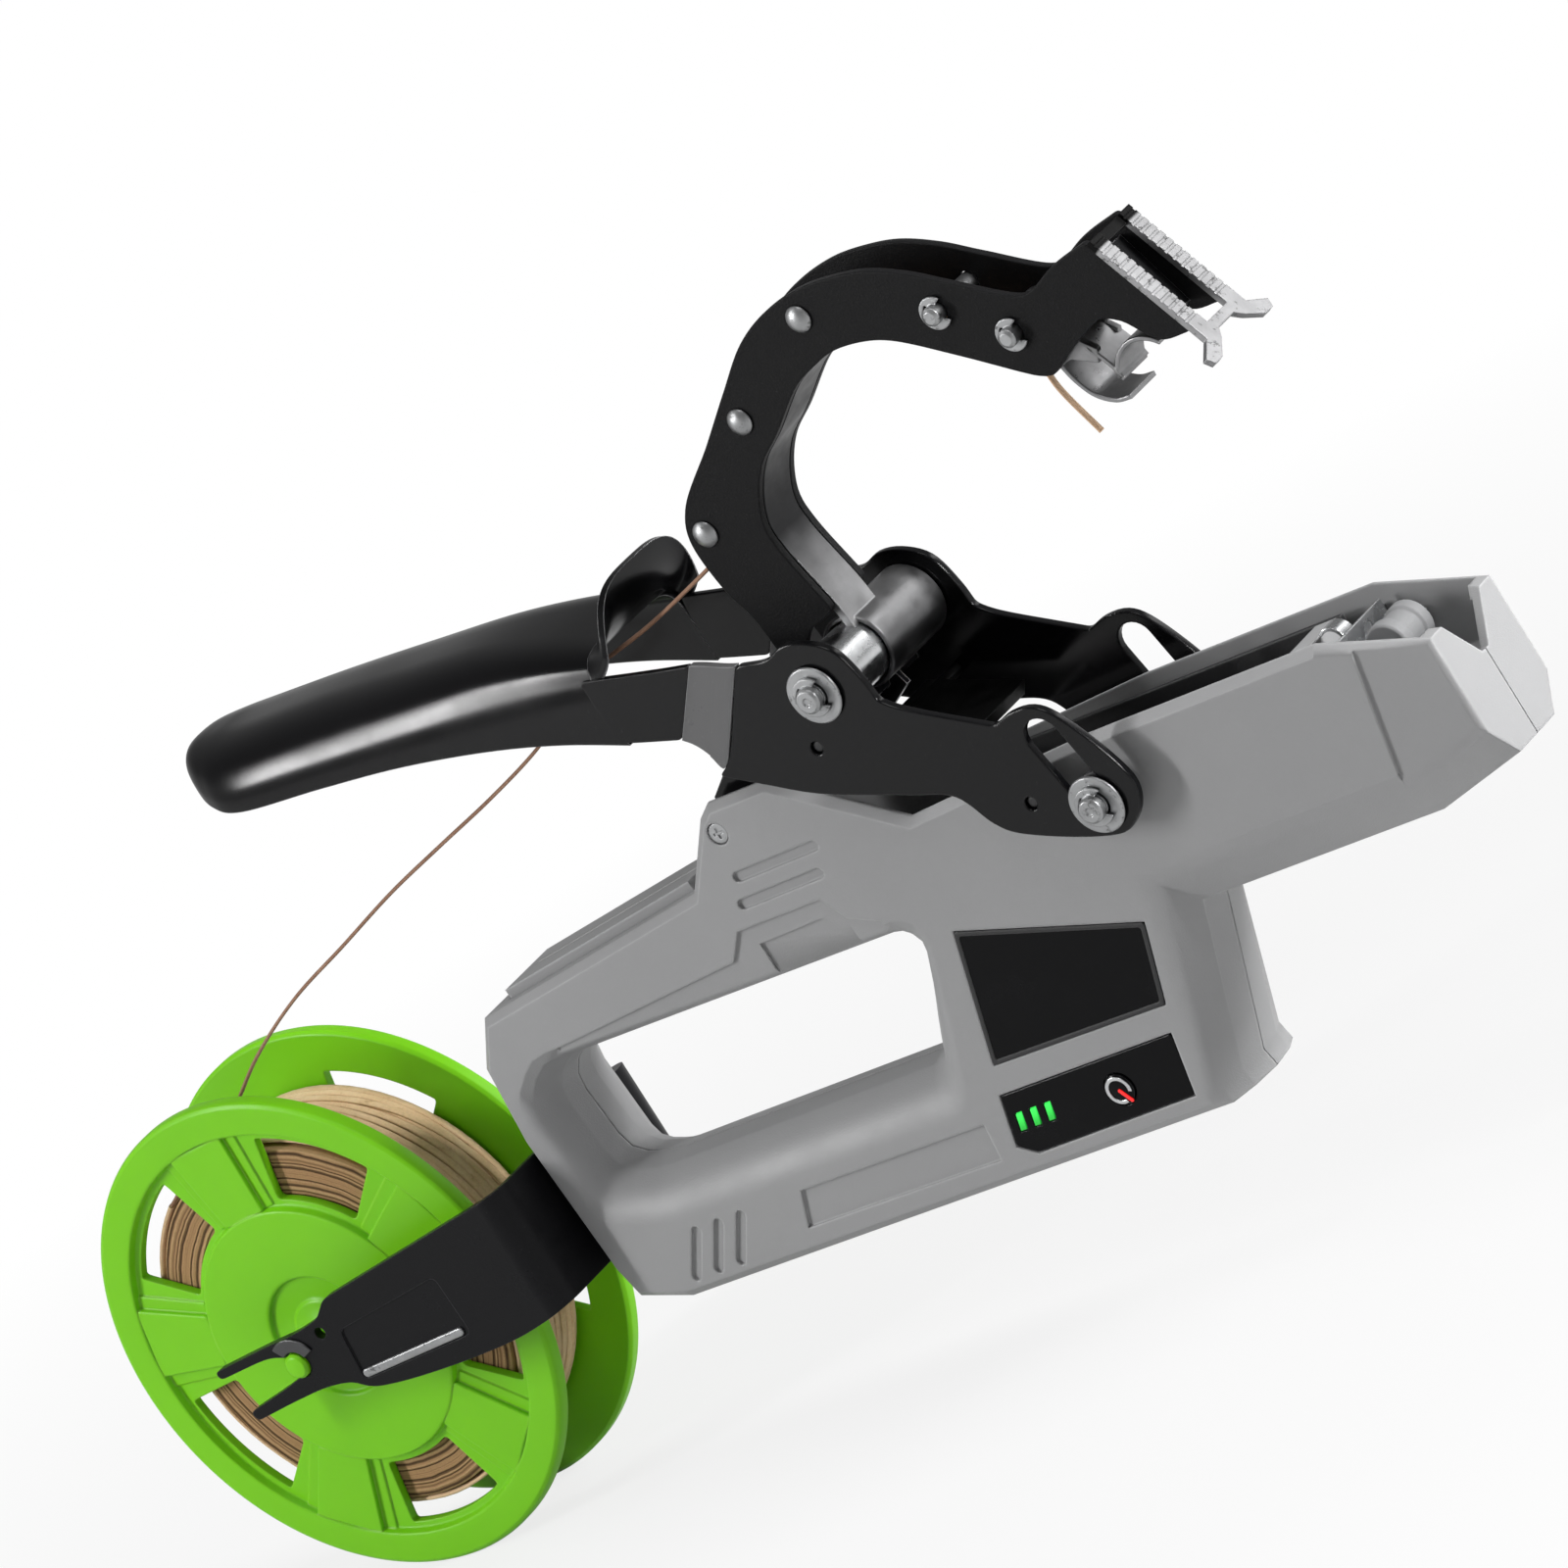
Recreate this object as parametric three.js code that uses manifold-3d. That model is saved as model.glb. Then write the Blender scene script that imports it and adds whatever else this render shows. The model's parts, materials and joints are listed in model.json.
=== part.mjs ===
import * as THREE from 'three';
import { mergeVertices } from 'three/addons/utils/BufferGeometryUtils.js';
import Module from 'manifold-3d';

// Electric vine tying tool: millimetres, X forward along the body, Z up, the mid-plane at Y = 0.
// The drawing's zero is the pin that carries the arm; the finished part's zero is the middle of the grip bar.
const wasm = await Module();
wasm.setup();

const gap = 0.3; // clearance between two pieces that touch
const overrun = 2; // how far a cut runs past the face that it opens
const fine = 36; // sides of a large circle
const medium = 18; // sides of a pin or washer
const coarse = 8; // sides of a small hidden round

// Outlines are shares of a span, counted from the arm pin, X first and Z second.
const housing = {
  span: 100, // clear length of the hand opening
  rise: 100, // underside to the screw in the cheek
  halfWidth: 16,
  wall: 2.4,
  edge: 2, // bevel along the outer edges
  slotHalfWidth: 13.2, // long slot along the top
  noseKeel: 8, // half width of the flat under the nose
  bulge: 5.6, // how far the front block swells at the seam
  reliefDepth: 0.8,
  grooveWidth: 2.6,
  openingRound: 5,
};
const screen = { thickness: 1, seat: 1.2, lip: 3, module: 2.6, board: 1.6 };
const button = { radius: 3.8, stem: 1.5, travel: 0.8, proud: 0.5, stemLength: 3.2, cap: 1.6 };
const lamp = { width: 1.7, height: 4, pitch: 4.4, lean: 1.2, bar: 0.8 };
const cell = { radius: 9.2, length: 64, spacing: 1 };
const motor = { radius: 9, length: 40, shaft: 1.6, shaftLength: 4 };
const gearbox = { length: 50, height: 19, halfWidth: 5.4, ear: 2, earReach: 11 };
const pinion = { root: 4.6, tip: 6, teeth: 10, halfWidth: 3, shaft: 1.6, hole: 1.9 };
const driver = { thickness: 1.2, halfWidth: 3.4, height: 18, travel: 7 };
const magazine = { halfWidth: 11, wall: 1.5, height: 19.5 };
const staple = { halfWidth: 2.6, height: 5, wire: 0.6, length: 44 };
const pusher = { length: 6, rod: 1.1, rodHole: 1.5, rodEnd: 2, knob: 2.2, cap: 2 };
const gate = { length: 6, height: 4.6 };
const cutter = {
  plate: 1.8,
  blade: 0.7,
  height: 15.6,
  bladeHeight: 17.6,
  halfWidth: 12.8,
  bladeHalfWidth: 10.8,
};
const hook = { radius: 3.6, sheet: 0.8, halfWidth: 2.2, foot: 15.6, base: 2, turn: 130 };
const roller = { radius: 5.5, near: -4, far: 8, pin: 1.5, clearance: 1.2 };
const paddle = {
  halfWidth: 9.4,
  depth: 6, // of its slot
  floorGap: 1,
  proud: 2.3,
  clearance: 0.5,
  groove: 0.9,
  grooveHalfWidth: 0.5,
  grooveMargin: 4,
};
const micro = { length: 13, halfWidth: 3, height: 8, plungerRadius: 1.2, plunger: 4.5 };
const screw = { head: 2.5, shank: 1.4, headDepth: 1.2, length: 2.2 };

const pin = {
  radius: 3.1,
  hole: 3.4,
  washer: 6.9,
  washerThickness: 0.9,
  clip: 4.7,
  clipThickness: 0.8,
  tail: 2,
};
const fulcrumSpacer = 6.4; // outer radius of the spacer between the housing and a lever plate
const lever = {
  span: 100, // fulcrum to the bend into the handle
  inside: 20.7, // inner face of each side plate
  sheet: 2,
  slotWidth: 9,
  dimple: 1.6,
};
const handle = { halfWidth: 20.5, sheet: 1.8, lipLength: 16.2, lipRoot: 1.2 };
const tongue = { halfWidth: 9.2, sheet: 1.6, pin: 1.6 };
const core = { pin: 1.6 };
const arm = {
  span: 100, // arm pin to the foot of the tip, measured forward
  inside: 6,
  sheet: 2,
  web: 2,
  hub: 9,
  bush: 7.5,
  sleeveNear: -4,
};
const rivet = {
  radius: 2.2,
  head: 3.2,
  headThickness: 0.9,
  hole: 2.5,
  tail: 2.6,
  clip: 3.9,
  clipThickness: 0.7,
};
const fork = {
  length: 29.5, // top of the rails to the bridge
  prong: 37, // top of the rails to the prong ends
  halfWidth: 8.8,
  window: 4.5,
  spread: 12, // prong ends from the mid-plane
  prongHalf: 2,
  notch: 3.4,
  bridge: 2.5,
  thickness: 1.6,
  ribCount: 12,
  ribDepth: 0.3,
};
const holder = { sheet: 1.1, halfWidth: 5.7, ear: 2 };

const reel = {
  radius: 63.4,
  halfWidth: 18.8,
  flange: 4.5,
  rim: 9,
  disc: 34,
  step: 1.5,
  windowInner: 36.2,
  windowOuter: 52.8,
  windowAngle: 34.5,
  windows: 5,
  firstWindow: 58,
  hub: 22,
  trunnion: 3.2,
  trunnionReach: 33,
  dishRadius: 16,
};
const winding = { outer: 49.8, width: 1.8, thickness: 1.2, loops: 11, steps: 24 };
const tape = { radius: 0.9, sides: 8 };
const bracket = {
  reach: 85.2, // rear wall to the reel's axis
  drop: 101, // arm pin down to the reel's axis
  inside: 29,
  sheet: 2.5,
  bend: 7,
  bootLength: 12,
  bootHole: 1.35,
  recess: 0.7,
  screwHead: 4,
  screwPitch: 16,
  screwRise: 2, // of the screws over the reel's axis
};

const paint = (name, color, roughness, metalness) => new THREE.MeshStandardMaterial(
  { name, color, roughness, metalness }
);
const materials = {
  grey: paint('grey_shell', 0x9a9b9c, 0.62, 0),
  blackPaint: paint('black_paint', 0x121213, 0.3, 0.3),
  blackTexture: paint('black_texture', 0x1a1a1b, 0.6, 0.2),
  satin: paint('satin_web', 0x5a5b5d, 0.35, 0.8),
  zinc: paint('zinc', 0xb9bbbd, 0.3, 1),
  steel: paint('bright_steel', 0xcfd1d3, 0.22, 1),
  gloss: paint('black_gloss', 0x050506, 0.08, 0),
  darkPlastic: paint('dark_plastic', 0x2a2b2d, 0.5, 0),
  lime: paint('lime_plastic', 0x6fd11a, 0.3, 0),
  kraft: paint('kraft_tape', 0xc39a6b, 0.85, 0),
  green: paint('green_lamp', 0x19e04a, 0.3, 0),
  board: paint('board_green', 0x1d5b35, 0.5, 0),
  copper: paint('battery_sleeve', 0x2f5fa8, 0.4, 0),
};

// Joins and cuts of closed geometries.
function toSolid(geometry) {
  const bare = geometry.clone();
  bare.deleteAttribute('normal');
  bare.deleteAttribute('uv');
  const merged = mergeVertices(bare, 1e-4);
  const triVerts = new Uint32Array(merged.index.array);
  const vertProperties = new Float32Array(merged.attributes.position.array);
  return new wasm.Manifold(new wasm.Mesh({ numProp: 3, vertProperties, triVerts }));
}

function toGeometry(solid) {
  const { vertProperties, triVerts } = solid.getMesh();
  const geometry = new THREE.BufferGeometry();
  geometry.setAttribute('position', new THREE.BufferAttribute(new Float32Array(vertProperties), 3));
  geometry.setIndex([...triVerts]);
  return geometry;
}

const join = (first, ...rest) => toGeometry(
  rest.reduce((sum, next) => sum.add(toSolid(next)), toSolid(first))
);
const cut = (first, ...rest) => toGeometry(
  rest.reduce((sum, next) => sum.subtract(toSolid(next)), toSolid(first))
);
const common = (first, second) => toGeometry(toSolid(first).intersect(toSolid(second)));

function mirrored(geometry) {
  const copy = geometry.index ? geometry.clone() : mergeVertices(geometry);
  copy.scale(1, -1, 1);
  const index = copy.index.array;
  for (let i = 0; i < index.length; i += 3) {
    [index[i + 1], index[i + 2]] = [index[i + 2], index[i + 1]];
  }
  return copy;
}

// Basic solids.
const shapeOf = (points) => new THREE.Shape(points.map(([u, v]) => new THREE.Vector2(u, v)));

function extruded(points, depth) {
  return new THREE.ExtrudeGeometry(shapeOf(points), { depth, bevelEnabled: false, curveSegments: 1 });
}

function prismY(points, low, high) {
  return extruded(points, high - low).rotateX(Math.PI / 2).translate(0, high, 0);
}

function prismX(points, low, high) {
  const turn = new THREE.Matrix4().makeBasis(
    new THREE.Vector3(0, 1, 0),
    new THREE.Vector3(0, 0, 1),
    new THREE.Vector3(1, 0, 0),
  );
  return extruded(points, high - low).applyMatrix4(turn).translate(low, 0, 0);
}

const prismZ = (points, low, high) => extruded(points, high - low).translate(0, 0, low);

function box([xLow, xHigh], [yLow, yHigh], [zLow, zHigh]) {
  const block = new THREE.BoxGeometry(xHigh - xLow, yHigh - yLow, zHigh - zLow);
  return block.translate((xLow + xHigh) / 2, (yLow + yHigh) / 2, (zLow + zHigh) / 2);
}

function rodY(radius, low, high, [x, z], sides = medium) {
  return new THREE.CylinderGeometry(radius, radius, high - low, sides).translate(x, (low + high) / 2, z);
}

function rodX(radius, low, high, [y, z], sides = medium) {
  const rod = new THREE.CylinderGeometry(radius, radius, high - low, sides).rotateZ(-Math.PI / 2);
  return rod.translate((low + high) / 2, y, z);
}

const ringY = (outer, inner, low, high, centre, sides = medium) =>
  cut(rodY(outer, low, high, centre, sides), rodY(inner, low - overrun, high + overrun, centre, sides));

// A closed skin through rings with equal point counts.
// The caps are fans, or drawn in the plane that flat gives.
function loft(rings, flat) {
  const count = rings[0].length;
  const index = [];
  for (let level = 0; level + 1 < rings.length; level += 1) {
    for (let i = 0; i < count; i += 1) {
      const here = level * count + i;
      const next = level * count + ((i + 1) % count);
      index.push(here, next, next + count, here, next + count, here + count);
    }
  }
  const capOf = (ring) => {
    if (!flat) return ring.slice(2).map((_, i) => [0, i + 1, i + 2]);
    const contour = ring.map((point) => new THREE.Vector2(...flat(point)));
    const turn = Math.sign(THREE.ShapeUtils.area(contour));
    return THREE.ShapeUtils.triangulateShape(contour, []).map(([a, b, c]) => {
      const area = THREE.ShapeUtils.area([contour[a], contour[b], contour[c]]);
      return Math.sign(area) === turn ? [a, b, c] : [a, c, b];
    });
  };
  capOf(rings[0]).forEach(([a, b, c]) => index.push(a, c, b));
  const last = (rings.length - 1) * count;
  capOf(rings[rings.length - 1]).forEach(([a, b, c]) => index.push(last + a, last + b, last + c));
  return facingOut(rings.flat(), index);
}

function facingOut(points, index) {
  let volume = 0;
  const corner = new THREE.Vector3();
  const vector = (i) => new THREE.Vector3(...points[i]);
  for (let i = 0; i < index.length; i += 3) {
    corner.crossVectors(vector(index[i + 1]), vector(index[i + 2]));
    volume += vector(index[i]).dot(corner);
  }
  if (volume < 0) index.reverse();
  const geometry = new THREE.BufferGeometry();
  geometry.setAttribute('position', new THREE.BufferAttribute(new Float32Array(points.flat()), 3));
  geometry.setIndex(index);
  return geometry;
}

// Outlines: each is a list of [x, z] points.
function inset(points, distance) {
  const turn = Math.sign(THREE.ShapeUtils.area(points.map(([x, z]) => new THREE.Vector2(x, z))));
  return points.map(([x, z], i) => {
    const [px, pz] = points[(i + points.length - 1) % points.length];
    const [nx, nz] = points[(i + 1) % points.length];
    const before = new THREE.Vector2(pz - z, x - px).normalize();
    const after = new THREE.Vector2(z - nz, nx - x).normalize();
    const miter = before.clone().add(after);
    const scale = (2 * turn * distance) / miter.lengthSq();
    return [x + miter.x * scale, z + miter.y * scale];
  });
}

// Each corner becomes a short curve; the count of points stays the same for any size.
function rounded(points, radius, steps = 3) {
  return points.flatMap(([x, z], i) => {
    const here = new THREE.Vector2(x, z);
    const before = new THREE.Vector2(...points[(i + points.length - 1) % points.length]).sub(here);
    const after = new THREE.Vector2(...points[(i + 1) % points.length]).sub(here);
    const reach = Math.min(radius, before.length() * roundLimitShare, after.length() * roundLimitShare);
    const start = here.clone().add(before.setLength(reach));
    const end = here.clone().add(after.setLength(reach));
    const curve = new THREE.QuadraticBezierCurve(start, here, end);
    return curve.getPoints(steps - 1).map((point) => [point.x, point.y]);
  });
}

function arc([x, z], radius, fromDegrees, toDegrees, steps) {
  return Array.from({ length: steps + 1 }, (_, i) => {
    const angle = THREE.MathUtils.degToRad(fromDegrees + ((toDegrees - fromDegrees) * i) / steps);
    return [x + radius * Math.cos(angle), z + radius * Math.sin(angle)];
  });
}

// A slot with round ends between two points.
function slotOutline([ax, az], [bx, bz], width) {
  const degrees = THREE.MathUtils.radToDeg(Math.atan2(bz - az, bx - ax));
  return [
    ...arc([bx, bz], width / 2, degrees - 90, degrees + 90, 4),
    ...arc([ax, az], width / 2, degrees + 90, degrees + 270, 4),
  ];
}

const mix = (from, to, share) => from.map(
  ([x, z], i) => [x + (to[i][0] - x) * share, z + (to[i][1] - z) * share]
);
const atLevel = (points, y) => points.map(([x, z]) => [x, y, z]);
const inSide = ([x, , z]) => [x, z];

// Places. The housing carries the fulcrum, the fulcrum the lever, and the lever the arm.
const onHousing = ([x, z]) => [x * housing.span, z * housing.rise];
const fulcrumShares = [0.522, -0.462];
const fulcrum = onHousing(fulcrumShares);
const onLever = ([x, z]) => [
  fulcrum[0] + (x - fulcrumShares[0]) * lever.span,
  fulcrum[1] + (z - fulcrumShares[1]) * lever.span,
];
const armPin = onLever([0, 0]);
const onArm = ([x, z]) => [armPin[0] + x * arm.span, armPin[1] + z * arm.span];
const rearWallShares = [-1.576, -0.75];
const rearWall = onHousing(rearWallShares)[0];
const reelAxis = [rearWall - bracket.reach, -bracket.drop];
const gripMiddleShares = [-0.95, -0.47];
const gripMiddle = onHousing(gripMiddleShares);

// Housing outline, counterclockwise seen from the near side; points 1 to 3 are the front of the grip block.
const bodyShares = [
  [-1.388, -1.235], [0.363, -1.235], [0.353, -1.19], [0.516, -0.795], [1.21, -0.795], [1.47, -0.735],
  [1.47, -0.415], [1.19, -0.335], [0.52, -0.335], [-0.035, -0.362], [-0.343, -0.162], [-0.526, -0.162],
  [-0.57, -0.19], [-0.708, -0.345], [-1.47, -0.438], [-1.553, -0.553], [-1.573, -0.75], [-1.55, -1.11],
  [-1.529, -1.193],
];
const blockFrontPoints = [1, 2, 3];
const noseBottomPoints = [3, 4, 5];
const noseBottomLiftShare = 0.11;
const rimShares = [
  [-1.4, -0.56], [-1.526, -0.66], [-1.506, -0.996], [-1.33, -1.05], [-0.33, -1.047], [-0.257, -0.874],
  [-0.155, -0.618], [-0.205, -0.564],
];
const throatShares = [
  [-1.38, -0.615], [-1.46, -0.68], [-1.44, -0.9], [-1.34, -0.935], [-0.4, -0.93], [-0.33, -0.8],
  [-0.24, -0.66], [-0.28, -0.62],
];
const slotShares = [[-0.6, 0.1], [-0.6, -0.3], [-0.55, -0.45], [-0.1, -0.45], [1.13, -0.57], [1.13, 0.1]];
const pocketShares = [[1.12, 0.1], [1.12, -0.54], [1.44, -0.54], [1.44, 0.1]];
const notchShares = [[0.1, -0.4], [0.015, -0.52]]; // half width and height of the front notch, top and bottom
const ridgeShares = [
  [-1.311, -0.562], [-0.703, -0.522], [-0.643, -0.459], [-0.38, -0.458], [-0.34, -0.521], [-0.258, -0.556],
  [-0.258, -0.7], [-1.311, -0.7],
];
const stepShares = [[-0.612, -0.506], [-0.413, -0.502], [-0.349, -0.545], [-0.349, -0.7], [-0.612, -0.7]];
const noseReliefShares = [[1.3, -0.3], [1.2, -0.73], [1.5, -0.73], [1.5, -0.3]];
const labelShares = [[-0.906, -1.08], [-0.948, -1.17], [-0.337, -1.174], [-0.325, -1.082]];
const cheekSlotShares = [[[-0.553, -0.341], [-0.308, -0.338]], [[-0.585, -0.404], [-0.338, -0.401]]];
const ventShares = [[-1.251, -1.086], [-1.328, -1.188]];
const ventPitchShare = 0.073;
const vents = 3;
const screwShares = [-0.533, -0.232];
const screenShares = [[-0.094, -0.636], [0.395, -0.77], [0.32, -0.965], [-0.206, -0.961]];
const panelShares = [[-0.24, -1.029], [0.29, -1.028], [0.252, -1.185], [-0.231, -1.188], [-0.279, -1.157]];
const buttonShares = [0.075, -1.111];
const lampShares = [-0.226, -1.105];
const paddleShares = [[-1.41, -0.4307], [-0.745, -0.3495]];
const seatFloorShare = -1.211; // inner floor of the lower bar
const batteryShare = -1.36; // rear end of the cells
const gearboxEndShare = 0.98;
const blockFloorShare = -0.795;
const driverShares = [1.148, -0.5];
const magazineShares = [0.08, -0.56]; // rear end and underside
const cutterShare = 1.18;
const pocketFloorShare = -0.54;
const noseFloorShares = [1.13, 1.47]; // rear and front end of the pocket's floor
const notchDepthShares = [1.43, 1.5]; // rear and front of the cut through the nose's front wall
const rollerHeightShare = -0.43;
const switchShares = [-1.14, -0.615];
const pinionHeightShare = 0.56; // of the gearbox's height
const toothShares = [0.45, 0.6, 0.85]; // end of the gap, start and end of the tip, within one tooth's pitch
const openingLevelShares = [0, 0.4, 0.7, 0.9, 1];
const roundLimitShare = 0.45; // a corner's round takes at most this much of its shorter side

function blockRing(y, side, shrink) {
  const swell = housing.bulge * side ** 2;
  const lift = noseBottomLiftShare * housing.rise * Math.max(0, (side * housing.halfWidth - housing.noseKeel)
    / (housing.halfWidth - housing.noseKeel));
  const points = bodyShares.map(onHousing).map(([x, z], i) => [
    blockFrontPoints.includes(i) ? x - swell : x,
    noseBottomPoints.includes(i) ? z + lift : z,
  ]);
  return atLevel(inset(points, shrink), y);
}

function bodyBlock(halfWidth, shrink) {
  const share = (y) => Math.min(1, (y + shrink) / housing.halfWidth);
  const bevel = halfWidth - housing.edge;
  const middle = housing.noseKeel - shrink;
  return loft([
    blockRing(-halfWidth, share(halfWidth), shrink + housing.edge),
    blockRing(-bevel, share(bevel), shrink),
    blockRing(-middle, share(middle), shrink),
    blockRing(-gap / 2, 0, shrink),
  ], inSide);
}

// The hand opening narrows from its rim to its throat like the side of a round bar.
function handOpening(grow) {
  const rim = rounded(inset(rimShares.map(onHousing), -grow), housing.openingRound);
  const throat = rounded(inset(throatShares.map(onHousing), -grow), housing.openingRound);
  const rings = openingLevelShares.map((level) =>
    atLevel(mix(throat, rim, 1 - Math.sqrt(1 - level ** 2)), -level * housing.halfWidth));
  const past = atLevel(rim, -housing.halfWidth - overrun);
  const inside = atLevel(throat, overrun);
  return loft([past, ...rings.reverse(), inside], inSide);
}

const sideCut = (points, depth) => prismY(points, -housing.halfWidth - overrun, -housing.halfWidth + depth);

// The strip of the top face that the paddle lies along, from depth under it to height over it.
function paddleBand(height, depth, margin) {
  const [[ax, az], [bx, bz]] = paddleShares.map(onHousing);
  const length = Math.hypot(bx - ax, bz - az);
  const [ux, uz] = [(bx - ax) / length, (bz - az) / length];
  const corner = (along, up) => [ax + ux * along - uz * up, az + uz * along + ux * up];
  return [
    corner(-margin, -depth),
    corner(length + margin, -depth),
    corner(length + margin, height),
    corner(-margin, height),
  ];
}

function shellHalf() {
  const inner = housing.halfWidth - housing.wall;
  const cavity = cut(bodyBlock(inner, housing.wall).translate(0, gap, 0), handOpening(housing.wall));
  const floorLow = onHousing([0, pocketFloorShare])[1] - housing.wall;
  const [noseRear, noseFront] = noseFloorShares.map((share) => share * housing.span);
  const noseFloor = box(
    [noseRear, noseFront - housing.wall / 2],
    [-inner - housing.wall / 2, -gap / 2],
    [floorLow, floorLow + housing.wall],
  );
  const [driverX] = driverPlace();
  const [notchTop, notchBottom] = notchShares.map(([half, z]) => [half * housing.rise, z * housing.rise]);
  const notch = prismX([
    [-notchTop[0], notchTop[1]], [-notchBottom[0], notchBottom[1]], [notchBottom[0], notchBottom[1]],
    [notchTop[0], notchTop[1]], [notchTop[0], 0], [-notchTop[0], 0],
  ], ...notchDepthShares.map((share) => share * housing.span));
  const topSlot = prismY(slotShares.map(onHousing), -housing.slotHalfWidth, overrun);
  const pocket = prismY(pocketShares.map(onHousing), -housing.slotHalfWidth, overrun);
  const paddleSlot = prismY(
    paddleBand(housing.wall + overrun, paddle.depth, paddle.clearance),
    -paddle.halfWidth - paddle.clearance,
    overrun,
  );
  const grooves = [
    sideCut(ridgeShares.map(onHousing), housing.reliefDepth),
    sideCut(stepShares.map(onHousing), housing.reliefDepth * 2),
    sideCut(noseReliefShares.map(onHousing), housing.reliefDepth),
    sideCut(labelShares.map(onHousing), housing.reliefDepth),
    ...cheekSlotShares.map(
      (ends) => sideCut(slotOutline(...ends.map(onHousing), housing.grooveWidth), housing.reliefDepth)
    ),
    ...Array.from(
      { length: vents }, (_, i) => ventShares.map(([x, z]) => onHousing([x + i * ventPitchShare, z])),
    )
      .map((ends) => sideCut(slotOutline(...ends, housing.grooveWidth), housing.reliefDepth)),
  ];
  const screwAt = onHousing(screwShares);
  const screwSeat = rodY(
    screw.head + gap, -housing.halfWidth - overrun, -housing.halfWidth + screw.headDepth, screwAt,
  );
  const screwHole = rodY(screw.shank + gap, -housing.halfWidth - overrun, -inner + overrun, screwAt, coarse);
  const axle = rodY(pin.hole, -housing.halfWidth - overrun, -inner + overrun, fulcrum);
  const block = cut(bodyBlock(housing.halfWidth, 0), cavity, topSlot, pocket);
  const driverSlot = box(
    [driverX - driver.thickness, driverX + driver.thickness],
    [-driver.halfWidth - gap * 2, overrun],
    [floorLow - overrun, floorLow + housing.wall + overrun],
  );
  return cut(
    join(block, noseFloor),
    handOpening(0),
    notch,
    paddleSlot,
    ...grooves,
    screwSeat,
    screwHole,
    axle,
    driverSlot,
  );
}

function withPanel(shell) {
  const depth = screen.seat;
  const inner = housing.halfWidth - housing.wall;
  const through = prismY(
    inset(screenShares.map(onHousing), screen.lip), -housing.halfWidth, -inner + overrun,
  );
  const buttonHole = rodY(button.radius + gap, -housing.halfWidth, -inner + overrun, onHousing(buttonShares));
  return cut(
    shell,
    sideCut(screenShares.map(onHousing), depth),
    sideCut(panelShares.map(onHousing), depth),
    through,
    buttonHole,
    lampBar(gap),
  );
}

// Screen, panel and lamps on the near side.
const faceY = -housing.halfWidth + gap / 2;
const screenWindow = () => prismY(inset(screenShares.map(onHousing), gap), faceY, faceY + screen.thickness);

function displayModule() {
  const outline = inset(screenShares.map(onHousing), screen.lip + gap);
  return prismY(outline, faceY + screen.thickness + gap, boardNear + screen.board / 2);
}

const boardNear = faceY + screen.thickness + screen.module + gap;
const boardShares = [[-0.16, -1.17], [0.24, -1.17], [0.34, -0.9], [0.34, -0.66], [-0.16, -0.66]];
const circuitBoard = () =>
  join(prismY(boardShares.map(onHousing), boardNear, boardNear + screen.board), displayModule());

const lampOutline = (i, grow) => {
  const [x, z] = onHousing(lampShares);
  const middle = x + i * lamp.pitch;
  const half = lamp.width / 2 + grow;
  const tall = lamp.height / 2 + grow;
  return [
    [middle - half - lamp.lean / 2, z - tall], [middle + half - lamp.lean / 2, z - tall],
    [middle + half + lamp.lean / 2, z + tall], [middle - half + lamp.lean / 2, z + tall],
  ];
};
const lampCount = 3;

function lampBar(grow) {
  const [x, z] = onHousing(lampShares);
  const nearFace = -housing.halfWidth + screen.seat;
  const bar = box(
    [x - lamp.pitch / 2 - grow, x + lamp.pitch * (lampCount - 0.5) + grow],
    [nearFace, nearFace + lamp.bar + grow],
    [z - lamp.height / 2 - grow, z + lamp.height / 2 + grow],
  );
  return grow > 0 ? bar.translate(0, -gap / 2, 0) : bar;
}

function chargeLamps() {
  const top = -housing.halfWidth + screen.seat;
  const bars = Array.from(
    { length: lampCount }, (_, i) => prismY(lampOutline(i, 0), faceY, top + lamp.bar / 2),
  );
  return join(lampBar(0), ...bars);
}

function controlPanel() {
  const plate = prismY(inset(panelShares.map(onHousing), gap), faceY, faceY + screen.thickness - gap / 2);
  const lamps = Array.from({ length: lampCount }, (_, i) =>
    prismY(lampOutline(i, gap), faceY - overrun, faceY + screen.thickness + overrun));
  const hole = rodY(
    button.radius + gap, faceY - overrun, faceY + screen.thickness + overrun, onHousing(buttonShares),
  );
  return cut(plate, ...lamps, hole);
}

function powerButton() {
  const at = onHousing(buttonShares);
  const outer = -housing.halfWidth - button.proud;
  return join(
    rodY(button.radius, outer, outer + button.cap, at),
    rodY(button.stem, outer + button.cap / 2, outer + button.stemLength, at, coarse),
  );
}

// Battery, motor and gear train inside the housing.
function batteryCell(index) {
  const x = onHousing([batteryShare, 0])[0] + index * (cell.length + cell.spacing);
  const z = onHousing([0, seatFloorShare])[1] + cell.radius + gap;
  return rodX(cell.radius, x, x + cell.length, [0, z]);
}

const gearboxEnd = () => onHousing([gearboxEndShare, 0])[0];
const gearboxFloor = () => onHousing([0, blockFloorShare])[1] + housing.wall + gap;

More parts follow.
